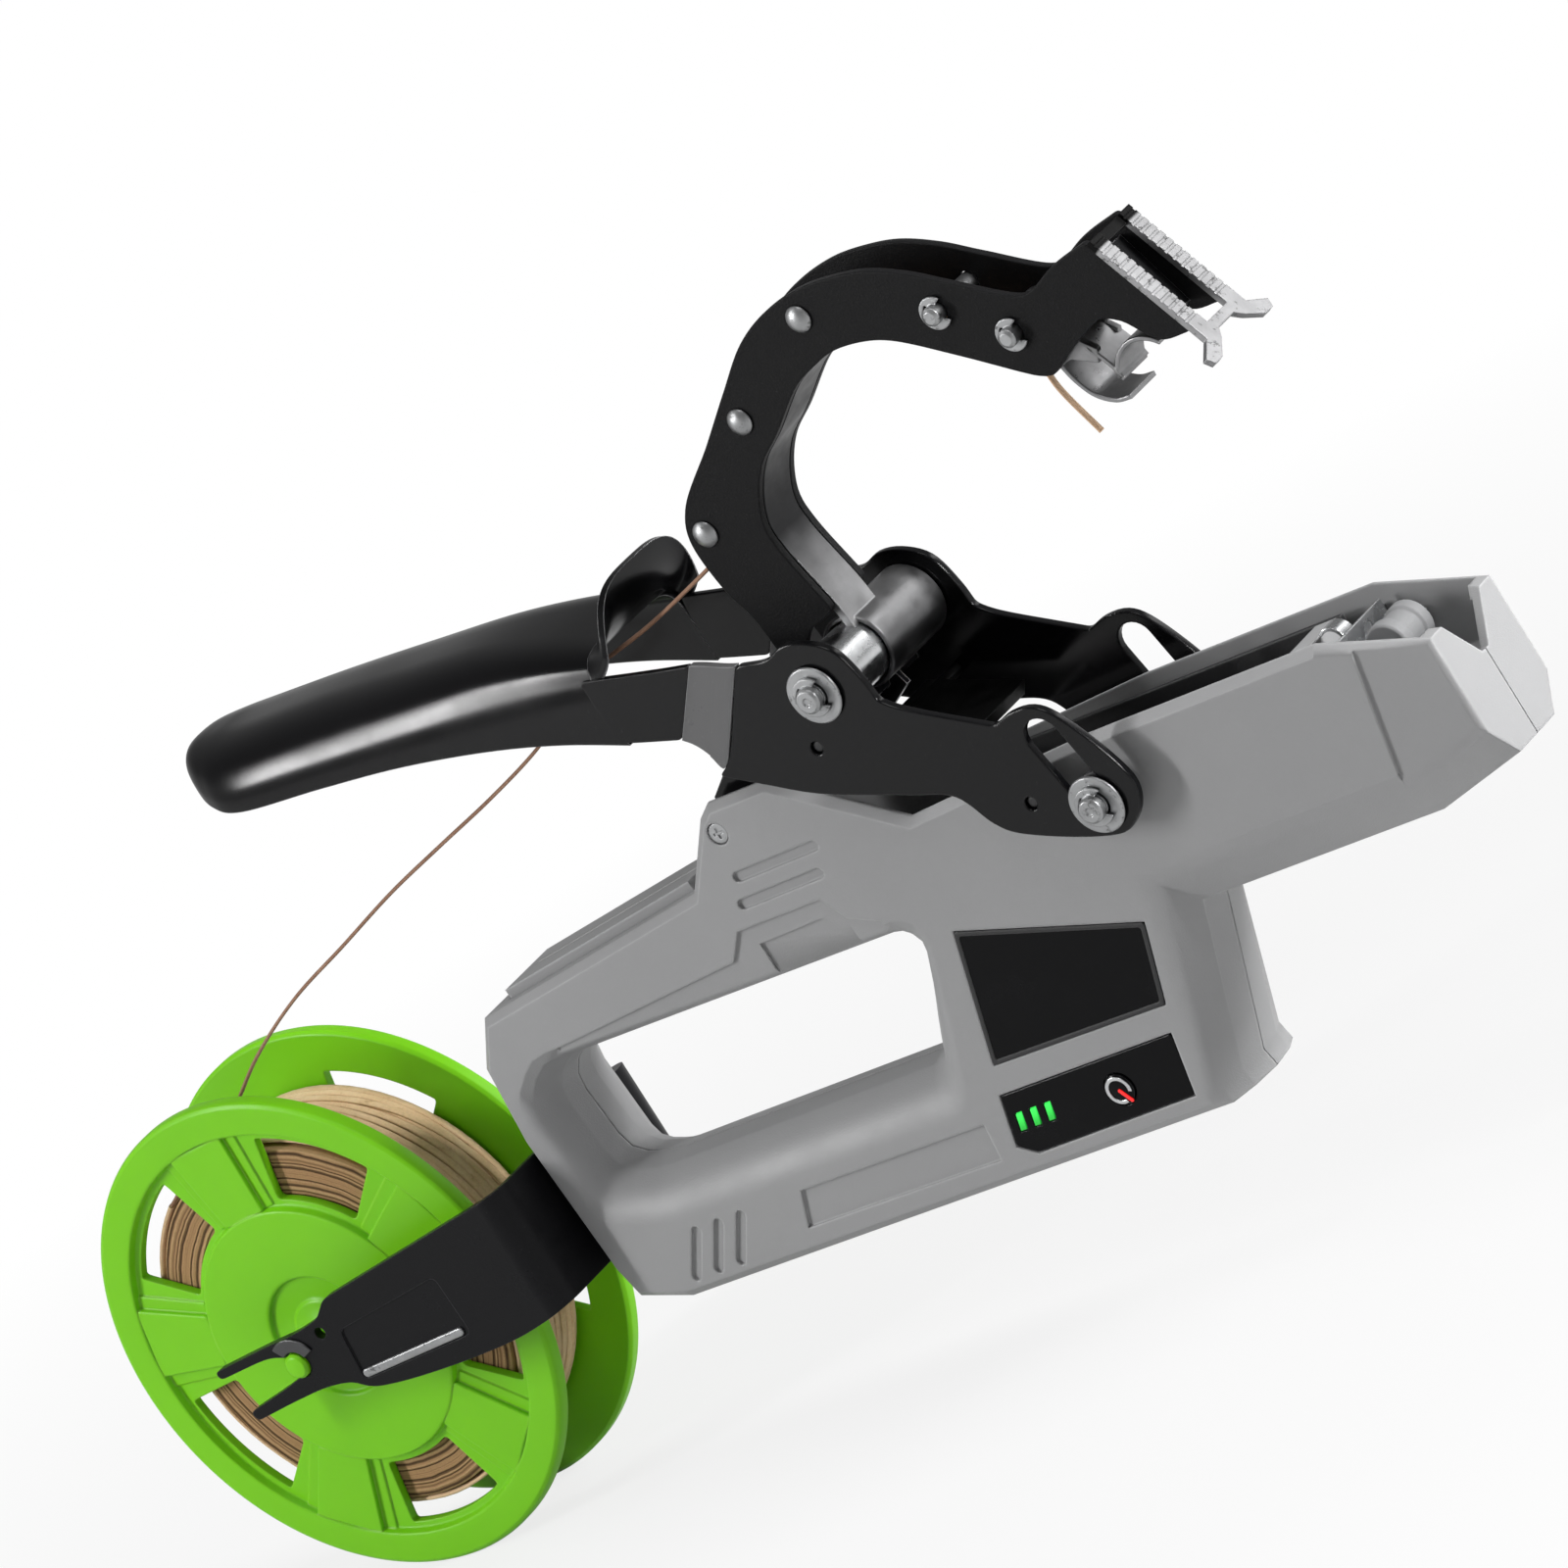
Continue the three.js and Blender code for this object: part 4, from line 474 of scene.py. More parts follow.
def folded(name, rings, degrees):
    """Rings that run out along one wall and back along the other, with a strip across either end."""
    size = len(rings[0])
    faces = bands(rings)
    for first in (0, (len(rings) - 1) * size):
        last = first + size - 1
        faces += [[first + k, first + k + 1, last - 1 - k, last - k] for k in range(size // 2 - 1)]
    return from_lists(name, sum(rings, []), faces, degrees)


def welded(mesh, reach, flat=None, degrees=32):
    """Welds double points, joins faces within an angle or drops faces without area, and smooths the rest."""
    bm = bmesh.new()
    bm.from_mesh(mesh)
    bmesh.ops.remove_doubles(bm, verts=bm.verts, dist=reach)
    if flat:
        bmesh.ops.dissolve_limit(bm, angle_limit=math.radians(flat), verts=bm.verts, edges=bm.edges)
    else:
        bmesh.ops.dissolve_degenerate(bm, dist=reach, edges=bm.edges)
        bmesh.ops.recalc_face_normals(bm, faces=bm.faces)
    bm.to_mesh(mesh)
    bm.free()
    smooth(mesh, degrees)


def baked(made):
    """The object with its curve or modifiers turned into a plain mesh."""
    graph = bpy.context.evaluated_depsgraph_get()
    graph.update()
    mesh = bpy.data.meshes.new_from_object(made.evaluated_get(graph), depsgraph=graph)
    mesh.transform(made.matrix_world)
    name = made.name
    old = made.data
    bpy.data.objects.remove(made)
    if old.users == 0 and isinstance(old, bpy.types.Curve):
        bpy.data.curves.remove(old)
    mesh.name = name
    return link(name, mesh)


def joined(name, parts):
    """Several meshes as one piece."""
    bm = bmesh.new()
    for part in parts:
        part.data.transform(part.matrix_world)
        bm.from_mesh(part.data)
    mesh = bpy.data.meshes.new(name)
    bm.to_mesh(mesh)
    bm.free()
    for part in parts:
        bpy.data.objects.remove(part)
    return link(name, mesh)


def combine(first, others, operation):
    """An exact boolean; the others are used up."""
    for other in others:
        modifier = first.modifiers.new("cut", "BOOLEAN")
        modifier.operation = operation
        modifier.solver = "EXACT"
        modifier.object = other
    bpy.context.view_layer.update()
    made = baked(first)
    for other in others:
        bpy.data.objects.remove(other)
    smooth(made.data)
    return made


def flip(mesh):
    """Mirrors a mesh across the middle plane."""
    mesh.transform(Matrix.Diagonal((1, -1, 1, 1)))
    mesh.flip_normals()


def mirrored(made, name):
    mesh = made.data.copy()
    flip(mesh)
    return link(name, mesh)


def put(made, body, look, *nodes):
    """Gives a finished piece its look and its body, and hides the CAD nodes that it stands for."""
    made.data.materials.clear()
    made.data.materials.append(LOOKS[look].material)
    if "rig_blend" not in made:
        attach(made, body)
        weights = made.modifiers.new("weights", "WEIGHTED_NORMAL")
        weights.keep_sharp = True
    if nodes:
        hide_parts(*nodes)


SIDE = Matrix(((1, 0, 0, 0), (0, 0, -1, 0), (0, 1, 0, 0), (0, 0, 0, 1)))
UPRIGHT = Matrix.Identity(4)
SHARP = 0.00001  # the bevel of a cutter


def slab(name, outline, low, high, bevel=0.0003, holes=(), stands=SIDE, steps=2):
    """A plate with rounded edges: the outline in u and v, from low to high along Y, or along Z if upright."""
    data = bpy.data.curves.new(name, "CURVE")
    data.dimensions = "2D"
    data.fill_mode = "BOTH"
    for ring in [outline, *holes]:
        spline = data.splines.new("POLY")
        spline.points.add(len(ring) - 1)
        for point, (u, v) in zip(spline.points, ring):
            point.co = (u, v, 0, 1)
        spline.use_cyclic_u = True
    data.extrude = (high - low) / 2 - bevel
    data.bevel_depth = bevel
    data.bevel_resolution = steps
    data.offset = -bevel
    made = link(name, data)
    middle = (high + low) / 2
    made.matrix_world = stands @ Matrix.Translation((0, 0, -middle if stands is SIDE else middle))
    made = baked(made)
    welded(made.data, 1e-6, 0.3)
    return made


def arc(centre, radius, start, end, count=24):
    x, z = centre
    angles = [math.radians(start + (end - start) * i / count) for i in range(count + 1)]
    return [(x + radius * math.cos(a), z + radius * math.sin(a)) for a in angles]


def circle(centre, radius, count=48):
    x, z = centre
    angles = [2 * math.pi * i / count for i in range(count)]
    return [(x + radius * math.cos(a), z + radius * math.sin(a)) for a in angles]


def capsule(a, b, width):
    degrees = math.degrees(math.atan2(b[1] - a[1], b[0] - a[0]))
    head = arc(b, width / 2, degrees - 90, degrees + 90, 12)
    return head + arc(a, width / 2, degrees + 90, degrees + 270, 12)


def mix(p, q, a, b, t):
    return p * ((b - t) / (b - a)) + q * ((t - a) / (b - a))


def spline_points(points, step=0.0015):
    """Centripetal Catmull-Rom through the points, ends kept."""
    points = [Vector(p) for p in points]
    if len(points) < 3:
        return points
    padded = [points[0] * 2 - points[1], *points, points[-1] * 2 - points[-2]]
    made = [points[0]]
    for p0, p1, p2, p3 in zip(padded, padded[1:], padded[2:], padded[3:]):
        t0 = 0.0
        t1 = t0 + max((p1 - p0).length, 1e-9) ** 0.5
        t2 = t1 + max((p2 - p1).length, 1e-9) ** 0.5
        t3 = t2 + max((p3 - p2).length, 1e-9) ** 0.5
        count = max(1, round((p2 - p1).length / step))
        for i in range(1, count + 1):
            t = t1 + (t2 - t1) * i / count
            a1, a2, a3 = mix(p0, p1, t0, t1, t), mix(p1, p2, t1, t2, t), mix(p2, p3, t2, t3, t)
            made.append(mix(mix(a1, a2, t0, t2, t), mix(a2, a3, t1, t3, t), t1, t2, t))
    return made


def bend(before, here, after, reach_before, reach_after, steps=5):
    """A small curve in place of a corner; before and after point away from it."""
    start = here + before.normalized() * reach_before
    end = here + after.normalized() * reach_after
    shares = [k / steps for k in range(steps + 1)]
    return [tuple(start * (1 - t) ** 2 + here * 2 * t * (1 - t) + end * t ** 2) for t in shares]


def filleted(points, radius, steps=5):
    made = []
    for i, place in enumerate(points):
        here = Vector(place)
        before = Vector(points[i - 1]) - here
        after = Vector(points[(i + 1) % len(points)]) - here
        reach = min(radius, before.length * 0.45, after.length * 0.45)
        made.extend(bend(before, here, after, reach, reach, steps))
    return made


def flowing(points, corner=44, radius=0.0016):
    """A closed outline: gentle bends become one smooth curve, sharp ones keep a small round."""
    count = len(points)
    vectors = [Vector(p) for p in points]

    def turn(i):
        a = vectors[i] - vectors[i - 1]
        b = vectors[(i + 1) % count] - vectors[i]
        return math.degrees(abs(a.angle_signed(b)))

    corners = [i for i in range(count) if turn(i) > corner]
    made = []
    for a, b in zip(corners, [*corners[1:], corners[0] + count]):
        run = spline_points([vectors[i % count] for i in range(a, b + 1)])
        first, last = run[0], run[-1]
        inner = [p for p in run[1:-1] if (p - first).length > radius and (p - last).length > radius]
        made.append((first, inner))
    outline = []
    for k, (here, inner) in enumerate(made):
        previous = made[k - 1][1]
        before = (previous[-1] if previous else made[k - 1][0]) - here
        after = (inner[0] if inner else made[(k + 1) % len(made)][0]) - here
        reaches = [min(radius, way.length * 0.48) for way in (before, after)]
        outline.extend(bend(before, here, after, *reaches))
        outline.extend(tuple(p) for p in inner)
    return outline


def thickened(line, sheet):
    """A line and its copy set off to its right, as one outline."""
    edge = []
    for i, p in enumerate(line):
        d = (line[min(i + 1, len(line) - 1)] - line[max(i - 1, 0)]).normalized()
        edge.append(p + Vector((d.y, -d.x)) * sheet)
    return [tuple(p) for p in [*line, *edge[::-1]]]


def turned(name, profile, centre, count=96):
    """A profile of radius and height turned about a line along Y, closed on the axis or on itself."""
    x, z = centre
    points, faces = [], []
    size = len(profile)
    for i in range(count):
        angle = 2 * math.pi * i / count
        points += [(x + radius * math.cos(angle), y, z + radius * math.sin(angle)) for radius, y in profile]
        j = (i + 1) % count
        for k in range(size):
            m = (k + 1) % size
            if profile[k][0] or profile[m][0]:
                faces.append([i * size + k, i * size + m, j * size + m, j * size + k])
    made = from_lists(name, points, faces)
    welded(made.data, 1e-7)
    return made


def ring_profile(outer, inner, low, high, c=0.00025):
    """A tube's profile with chamfers of size c."""
    return [
        (inner, low + c), (inner + c, low), (outer - c, low), (outer, low + c), (outer, high - c),
        (outer - c, high), (inner + c, high), (inner, high - c),
    ]


def rod_profile(radius, low, high):
    c = 0.0004  # chamfer
    return [(0, low), (radius - c, low), (radius, low + c), (radius, high - c), (radius - c, high), (0, high)]


def refined(node, degrees=30):
    """The CAD solid as a clean mesh with smooth shading across its gentle bends."""
    made = link(f"{node}_skin", NODES[node].data.copy())
    welded(made.data, 2e-6, 0.6, degrees)
    return made


def plain(names, look):
    """Boxy inner solids keep their CAD shape and get a finish."""
    for name in names:
        mesh = NODES[name].data
        mesh.materials.clear()
        mesh.materials.append(LOOKS[look].material)


# Tape
TAPE_TO_LEVER = [
    (-268.5, -12.8, -59.05), (-259, -12.8, -54.2), (-247, -12.8, -49.2), (-235.3, -12.8, -43.9),
    (-217.4, -12.8, -32.9), (-196.9, -12.8, -23.4), (-173.9, -12.8, -15.8), (-151.3, -12.8, -8.3),
    (-130.1, -13, -2.4), (-109, -13.3, 3.3), (-89.3, -13.8, 9.5), (-75, -14.2, 15.4), (-62.1, -14.5, 21.2),
    (-58, -14.5, 22.5),
]
TAPE_TO_ARM = [(-57.6, -14.4, 22.65), (-43.4, -10, 25.1), (-26.3, -5, 29.8), (-17.9, -2.2, 32.6)]
TAPE_IN_ARM = [
    (-17.5, -2.1, 32.75), (-9, 0, 35.2), (-1.5, 0, 41), (5, 0, 49), (13.6, 0, 55), (30, 0, 65),
    (43.5, 0, 69.9), (58.8, 0, 66.2), (73.8, 0, 57.6), (81.3, 0, 50.8), (84.4, 0, 43.5), (85.2, 0, 36),
    (89, 0, 23.7),
]
TAPE_WIDTH = 0.0018
TAPE_THICK = 0.0007
WIRE = 0.0002  # how far the wire stands out


def oval(angle, wide, thick, side_power, flat_power):
    """A point of a strip's cross-section: across it, and out of its flat."""
    c, s = math.cos(angle), math.sin(angle)
    across = math.copysign(abs(c) ** side_power, c) * wide / 2
    return across, math.copysign(abs(s) ** flat_power, s) * thick / 2


def ribbon(name, route, flat_axis, count=14):
    """The flat tape with rounded edges and the ridge of its wire, swept along a route."""
    rings = []
    last = len(route) - 1
    for i, here in enumerate(route):
        ahead = route[min(i + 1, last)] - route[max(i - 1, 0)]
        ahead.normalize()
        side = Vector(flat_axis)
        side = (side - ahead * side.dot(ahead)).normalized()
        out = ahead.cross(side)
        rings.append([])
        for k in range(count):
            u, v = oval(2 * math.pi * k / count, TAPE_WIDTH, TAPE_THICK, 0.75, 0.6)
            ridge = WIRE * math.exp(-((u / (TAPE_WIDTH * 0.16)) ** 2)) * (1 if v > 0 else -1)
            rings[-1].append(here + side * u + out * (v + ridge))
    return tube(name, rings, 60)


def make_tape():
    parts = [
        ("tape_run_rear", TAPE_TO_LEVER, "tape_to_lever", ("housing", "lever"), (0, 1, 0.15), "object"),
        ("tape_run_middle", TAPE_TO_ARM, "tape_to_arm", ("lever", "arm"), (0, 1, 0.3), "object"),
        ("tape_run_arm", TAPE_IN_ARM, "tape_in_arm", None, (0, 1, 0), "bare"),
    ]
    for name, points, node, bodies, side, end in parts:
        route = spline_points([spot(*p) for p in points], 0.0012)
        made = ribbon(name, route, side)
        if bodies:
            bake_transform(made, *bodies, start=route[0], end=route[-1])
        # the end in the arm gets the paler kraft copy, painted light
        put(made, "arm", "strand" if bodies else "kraft_painted_light", node)


make_tape()


# Reel
WINDING = 0.0492  # radius of the outermost turn
ROLL_HALF = 0.01395


def round_axle(radius, angle, y):
    return Vector((AXLE[0] + radius * math.cos(angle), y, AXLE[1] + radius * math.sin(angle)))


def winding_route():
    """The outer turns, laid side by side with a slight wander."""
    loops, steps, start, travel, wander, lift = 11, 72, 122, 0.0256, 0.0005, 0.00022
    route = []
    total = loops * steps
    for i in range(total + 1):
        angle = math.radians(start) + 2 * math.pi * i / steps
        place = Vector((math.cos(angle), math.sin(angle), 3)) * 1.3
        sway = noise.noise(place * 1.7 + Vector((0, 0, i / steps * 3.1)))
        y = -travel / 2 + travel * i / total + wander * sway
        radius = WINDING + lift * noise.noise(place * 2.3 + Vector((5, 1, i / steps * 2.3)))
        route.append(round_axle(radius, angle, y))
    return route


def crossing_route(i, start, sweep, first, last, count=70):
    """A loose turn that crosses the others."""
    sunk, lift, raised, wander = 0.0006, 0.0011, 0.0002, 0.0004
    route = []
    for k in range(count + 1):
        t = k / count
        angle = math.radians(start + sweep * t)
        ease = t * t * (3 - 2 * t)
        radius = WINDING - sunk + lift * min(1, 6 * t, 6 * (1 - t)) + raised
        y = first + (last - first) * ease + wander * noise.noise(Vector((i * 4.0, t * 5, 0)))
        route.append(round_axle(radius, angle, y))
    return route


def wound_strip(name, route, width, thick, count=10):
    """A strip wound about the reel: its flat lies round the roll."""
    rings = []
    for here in route:
        radial = Vector((here.x - AXLE[0], 0, here.z - AXLE[1])).normalized()
        sway = 0.12 * noise.noise(here * 55)
        side = Vector((radial.x * sway, 1, radial.z * sway)).normalized()
        wide = width * (1 + 0.1 * noise.noise(here * 38))
        corners = [oval(2 * math.pi * (k + 0.5) / count, wide, thick, 0.7, 0.8) for k in range(count)]
        rings.append([here + side * u + radial * v for u, v in corners])
    return tube(name, rings, 60)


def make_winding():
    outer = wound_strip("winding_outer", winding_route(), 0.00222, 0.0012)
    put(outer, "reel", "kraft", "tape_winding")
    lanes = [(20, 250, -0.0085, 0.001), (-35, 210, 0.011, 0.0025), (70, 200, -0.002, 0.0068)]
    lifted = [
        wound_strip(f"lane_{i}", crossing_route(i, *lane), 0.0021, 0.0008) for i, lane in enumerate(lanes)
    ]
    put(joined("winding_crossing", lifted), "reel", "kraft")
    body = turned("roll_body", ring_profile(0.0479, 0.0223, -ROLL_HALF, ROLL_HALF, 0.0006), AXLE, 128)
    put(body, "reel", "roll", "tape_roll")


make_winding()


def flange(name, sign):
    """A windowed disc with a raised rim, a raised centre and stepped spokes; the axle stub is part of it."""
    inner, face, recess = 0.0143, 0.0188, 0.0166
    windows, pitch, first_window, half_window, first_spoke = 5, 72, 58, 17.25, 94
    window_near, window_far, spoke_near, spoke_far = 0.0362, 0.0528, 0.0338, 0.0546
    profile = [
        (0, inner), (0.0626, inner), (0.0634, inner + 0.0008), (0.0634, face - 0.0014),
        (0.063, face - 0.0005), (0.0622, face), (0.0556, face), (0.0549, face - 0.0003),
        (0.0543, recess + 0.0002), (0.0537, recess), (0.0352, recess), (0.0346, recess + 0.0003),
        (0.0341, face - 0.0003), (0.0335, face), (0.0168, face), (0.0161, face - 0.0004),
        (0.0157, face - 0.0012), (0.015, face - 0.0015), (0.0098, face - 0.0015), (0.009, face - 0.0009),
        (0.0064, face - 0.0006), (0.0038, face + 0.0004), (0.0032, face + 0.0012), (0.0032, 0.0321),
        (0.0026, 0.0328), (0.0012, 0.03299), (0, 0.03299),
    ]
    disc = turned(name, profile, AXLE, 180)
    past = 0.002
    cutters = []
    for i in range(windows):
        middle = first_window + pitch * i
        near = arc(AXLE, window_near, middle - half_window, middle + half_window, 16)
        far = arc(AXLE, window_far, middle + half_window, middle - half_window, 20)
        outline = flowing(near + far, corner=50, radius=0.0014)
        cutters.append(slab(f"{name}_window_{i}", outline, inner - past, face + past, bevel=SHARP))
    extras = [combine(disc, cutters, "DIFFERENCE")]
    steps = [(0.0098, 0.0128, recess + 0.0005), (0.0068, 0.0092, face - 0.0004)]
    for i in range(windows):
        middle = math.radians(first_spoke + pitch * i)
        along = Vector((math.cos(middle), math.sin(middle)))
        across = Vector((-along.y, along.x))
        for step, (near, far, top) in enumerate(steps):
            corners = [
                along * spoke_near - across * near, along * spoke_far - across * far,
                along * spoke_far + across * far, along * spoke_near + across * near,
            ]
            outline = filleted([(AXLE[0] + p.x, AXLE[1] + p.y) for p in corners], 0.0005)
            extras.append(slab(f"{name}_spoke_{i}_{step}", outline, recess - 0.0006, top, bevel=0.0004))
    if sign > 0:
        extras.append(turned(f"{name}_hub", rod_profile(0.022, -ROLL_HALF, 0.0145), AXLE, 96))
    piece = joined(name, extras)
    if sign < 0:
        flip(piece.data)
    smooth(piece.data, 30)
    return piece


for side, sign in SIDES:
    put(flange(f"reel_face_{side}", sign), "reel", "lime", f"reel_flange_{side}")


def make_bracket():
    """A strap bent round the rear of the body, whose sides carry the reel's axle."""
    wall_x = (-157.6 + GRIP[0] - 0.3) * MM
    reach, drop = 0.0852, 0.101
    inside, sheet, radius = 0.029, 0.0025, 0.007
    outer = inside + sheet
    rear = AXLE[0] - reach
    past, tall, dent = 0.002, 0.06, 0.0005

    def strap_ring(edge, round_to):
        run = arc((wall_x - radius, outer - radius), round_to, 90, 0, 20)
        return [(rear, edge), *run, *[(x, -y) for x, y in run][::-1], (rear, -edge)]

    def upright(name, outline):
        return slab(name, outline, AXLE[1] - tall, AXLE[1] + tall, bevel=SHARP, stands=UPRIGHT)

    def place(along, up):
        return wall_x + 0.0003 - along * reach, AXLE[1] + up * drop

    def placed(points):
        return [place(*p) for p in points]

    hollow = [(rear - 0.01, -inside), (rear - 0.01, inside), *strap_ring(inside, radius - sheet)[1:-1]]
    solid = upright("reel_strap", strap_ring(outer, radius))
    strap = combine(solid, [upright("strap_hollow", hollow)], "DIFFERENCE")
    r = 0.0035  # of the fork's round end
    low_edge = [
        (-0.05, 0.23), (-0.05, -0.08), (0.26, -0.122), (0.79, -0.112), (0.86, -0.084), (0.95, -0.075),
        (1.066, -0.08), (1.255, -0.095), (1.263, -0.07),
    ]
    high_edge = [(1.292, 0.03), (1.296, 0.052), (1.066, 0.068), (0.94, 0.075), (0.84, 0.09), (0.78, 0.129)]
    neck = AXLE[0] - r * 1.9
    outline = [
        *placed(low_edge), (neck, AXLE[1] - r * 1.2), *arc(AXLE, r, 240, 490, 20),
        (neck, AXLE[1] + r * 1.1), *placed(high_edge),
    ]
    whole = (-outer - past, outer + past)
    side = slab("strap_side", flowing(outline[::-1], corner=26), *whole, bevel=SHARP)
    strap = combine(strap, [side], "INTERSECT")
    trough = filleted(placed([(0.79, 0.045), (0.37, 0.088), (0.365, -0.07), (0.81, -0.088)]), 0.002)
    hole = circle((AXLE[0] + 0.012, place(0, 0.055)[1]), 0.0016)
    cutters = [
        slab("strap_trough_a", trough, -outer - past, -outer + dent, bevel=SHARP),
        slab("strap_trough_b", trough, outer - dent, outer + past, bevel=SHARP),
        slab("strap_hole", hole, *whole, bevel=SHARP),
    ]
    strap = combine(strap, cutters, "DIFFERENCE")
    smooth(strap.data, 30)
    put(strap, "housing", "bracket", "reel_bracket")
    beads, bosses = [], []
    line = capsule(place(0.79, -0.075), place(0.4, -0.058), 0.0022)
    crescent = arc(AXLE, 0.0072, 20, 128, 20) + arc(AXLE, 0.0037, 128, 20, 20)
    for sign in (-1, 1):
        low, high = span(sign, outer - 0.0008, outer + 0.0002)
        beads.append(slab(f"bead_{sign}", line, low, high, bevel=0.0004, steps=3))
        low, high = span(sign, outer - 0.0002, outer + 0.0006)
        bosses.append(slab(f"boss_{sign}", crescent, low, high, steps=3))
    put(joined("strap_beads", beads), "housing", "zinc")
    put(joined("strap_bosses", bosses), "housing", "satin")
    for i in (1, 2):
        put(refined(f"bracket_screw_{i}"), "housing", "zinc", f"bracket_screw_{i}")


make_bracket()


# Lever. Each row of the handle: its place, its share of the width, its foot, its roof and its squareness
HANDLE = [
    (-1.905, 0.12, 0.381, 0.396, 2.2), (-1.893, 0.34, 0.366, 0.401, 2.4), (-1.86, 0.63, 0.325, 0.408, 2.6),
    (-1.8, 0.87, 0.275, 0.405, 2.8), (-1.7, 1, 0.245, 0.397, 3), (-1.45, 1, 0.224, 0.387, 3),
    (-1.2, 1, 0.198, 0.37, 3.2), (-0.95, 1, 0.155, 0.35, 3.6), (-0.75, 1, 0.105, 0.315, 4.5),
    (-0.57, 1, 0.044, 0.268, 6),
]
LEVER_PLATE = [
    (-0.076, 0.112), (-0.02, 0.126), (0.042, 0.115), (0.105, 0.073), (0.134, -0.014), (0.139, -0.067),
    (0.175, -0.097), (0.385, -0.217), (0.44, -0.203), (0.503, -0.209), (0.546, -0.244), (0.638, -0.44),
    (0.623, -0.493), (0.586, -0.529), (0.538, -0.546), (0.276, -0.459), (0.235, -0.422), (0.182, -0.335),
    (0.067, -0.291), (-0.154, -0.212), (-0.273, -0.148), (-0.372, -0.092), (-0.326, -0.066), (-0.16, 0.125),
]
FLANK = [
    (-0.6, 0.058), (-0.539, 0.04), (-0.43, 0.01), (-0.294, 0.16), (-0.36, 0.172), (-0.45, 0.19),
    (-0.6, 0.222),
]
STEP_LOW = [(-0.43, 0.01), (-0.4, -0.012), (-0.372, -0.044), (-0.352, -0.08), (-0.326, -0.066)]
STEP_HIGH = [(-0.294, 0.16), (-0.16, 0.125)]
DIMPLES = [(-0.085, -0.115), (0.357, -0.409)]
LEVER_SHEET = 0.0018
HANDLE_HALF = 0.0205
PLATE_INSIDE = 0.0207  # the front plates' faces, from the middle plane
PLATE_OUTSIDE = 0.0227
PIN_HOLE = 0.0034


def between(rows, per):
    """Rows set smoothly between the rows of a table."""
    made = []
    last = len(rows) - 1
    for i in range(last):
        p0, p1, p2, p3 = (np.array(rows[min(max(j, 0), last)], float) for j in range(i - 1, i + 3))
        for k in range(per):
            t = k / per
            square = (2 * p0 - 5 * p1 + 4 * p2 - p3) * t ** 2
            made.append(0.5 * (2 * p1 + (p2 - p0) * t + square + (3 * p1 - p0 - 3 * p2 + p3) * t ** 3))
    made.append(np.array(rows[-1], float))
    return made


def arch(x, half, low, high, power, count=44):
    ring = []
    for k in range(count + 1):
        a = math.pi * k / count
        c, s = math.cos(a), math.sin(a)
        y = math.copysign(abs(c) ** (2 / power), c) * half
        ring.append((x, y, low + (high - low) * abs(s) ** (2 / power)))
    return ring


def make_handle():
    rings = []
    for x, width, low, high, power in between(HANDLE, 9):
        px, pz = at(x, low)
        top = at(x, high)[1]
        half = max(HANDLE_HALF * width, 0.0022)
        inner_half, inner_top = max(half - LEVER_SHEET, 0.0004), max(top - LEVER_SHEET, pz + 0.0002)
        inner = arch(px, inner_half, pz, inner_top, power)
        rings.append(arch(px, half, pz, top, power) + inner[::-1])
    return folded("handle_shell", rings, 42)


def make_lip():
    """The roof's front edge turns up into a cupped lip with rounded corners."""
    length, power, roof_power, under = 0.0162, 3.2, 6, 0.0014
    x, low = at(-0.57, 0.044)
    high = at(-0.57, 0.268)[1]
    first, last = math.radians(17), math.radians(81)
    across, along = 56, 18
    shares = [0.97 * math.sin(math.pi / 2 * (2 * i / across - 1)) for i in range(across + 1)]

    def roof(share):
        return low + (high - low) * (1 - abs(share) ** roof_power) ** (1 / roof_power)

    def ring(step):
        outer, inner = [], []
        for share in shares:
            reach = step * (1 - abs(share) ** power) ** (1 / power)
            lean = first + (last - first) * reach
            middle = (first + lean) / 2
            y = share * HANDLE_HALF
            px, pz = x + reach * length * math.cos(middle), roof(share) + reach * length * math.sin(middle)
            outer.append((px, y, pz))
            inner.append((px + LEVER_SHEET * math.sin(lean), y, pz - LEVER_SHEET * math.cos(lean)))
        return outer + inner[::-1]

    root = [(x - 0.0012, share * HANDLE_HALF, roof(share)) for share in shares]
    root += [(px, y, pz - under) for px, y, pz in root[::-1]]
    lip = folded("handle_lip", [root, *[ring(i / along) for i in range(along + 1)]], 50)
    edge = lip.modifiers.new("edge", "BEVEL")
    edge.width = 0.0005
    edge.segments = 3
    edge.limit_method = "ANGLE"
    edge.angle_limit = math.radians(50)
    lip = baked(lip)
    smooth(lip.data, 50)
    return lip


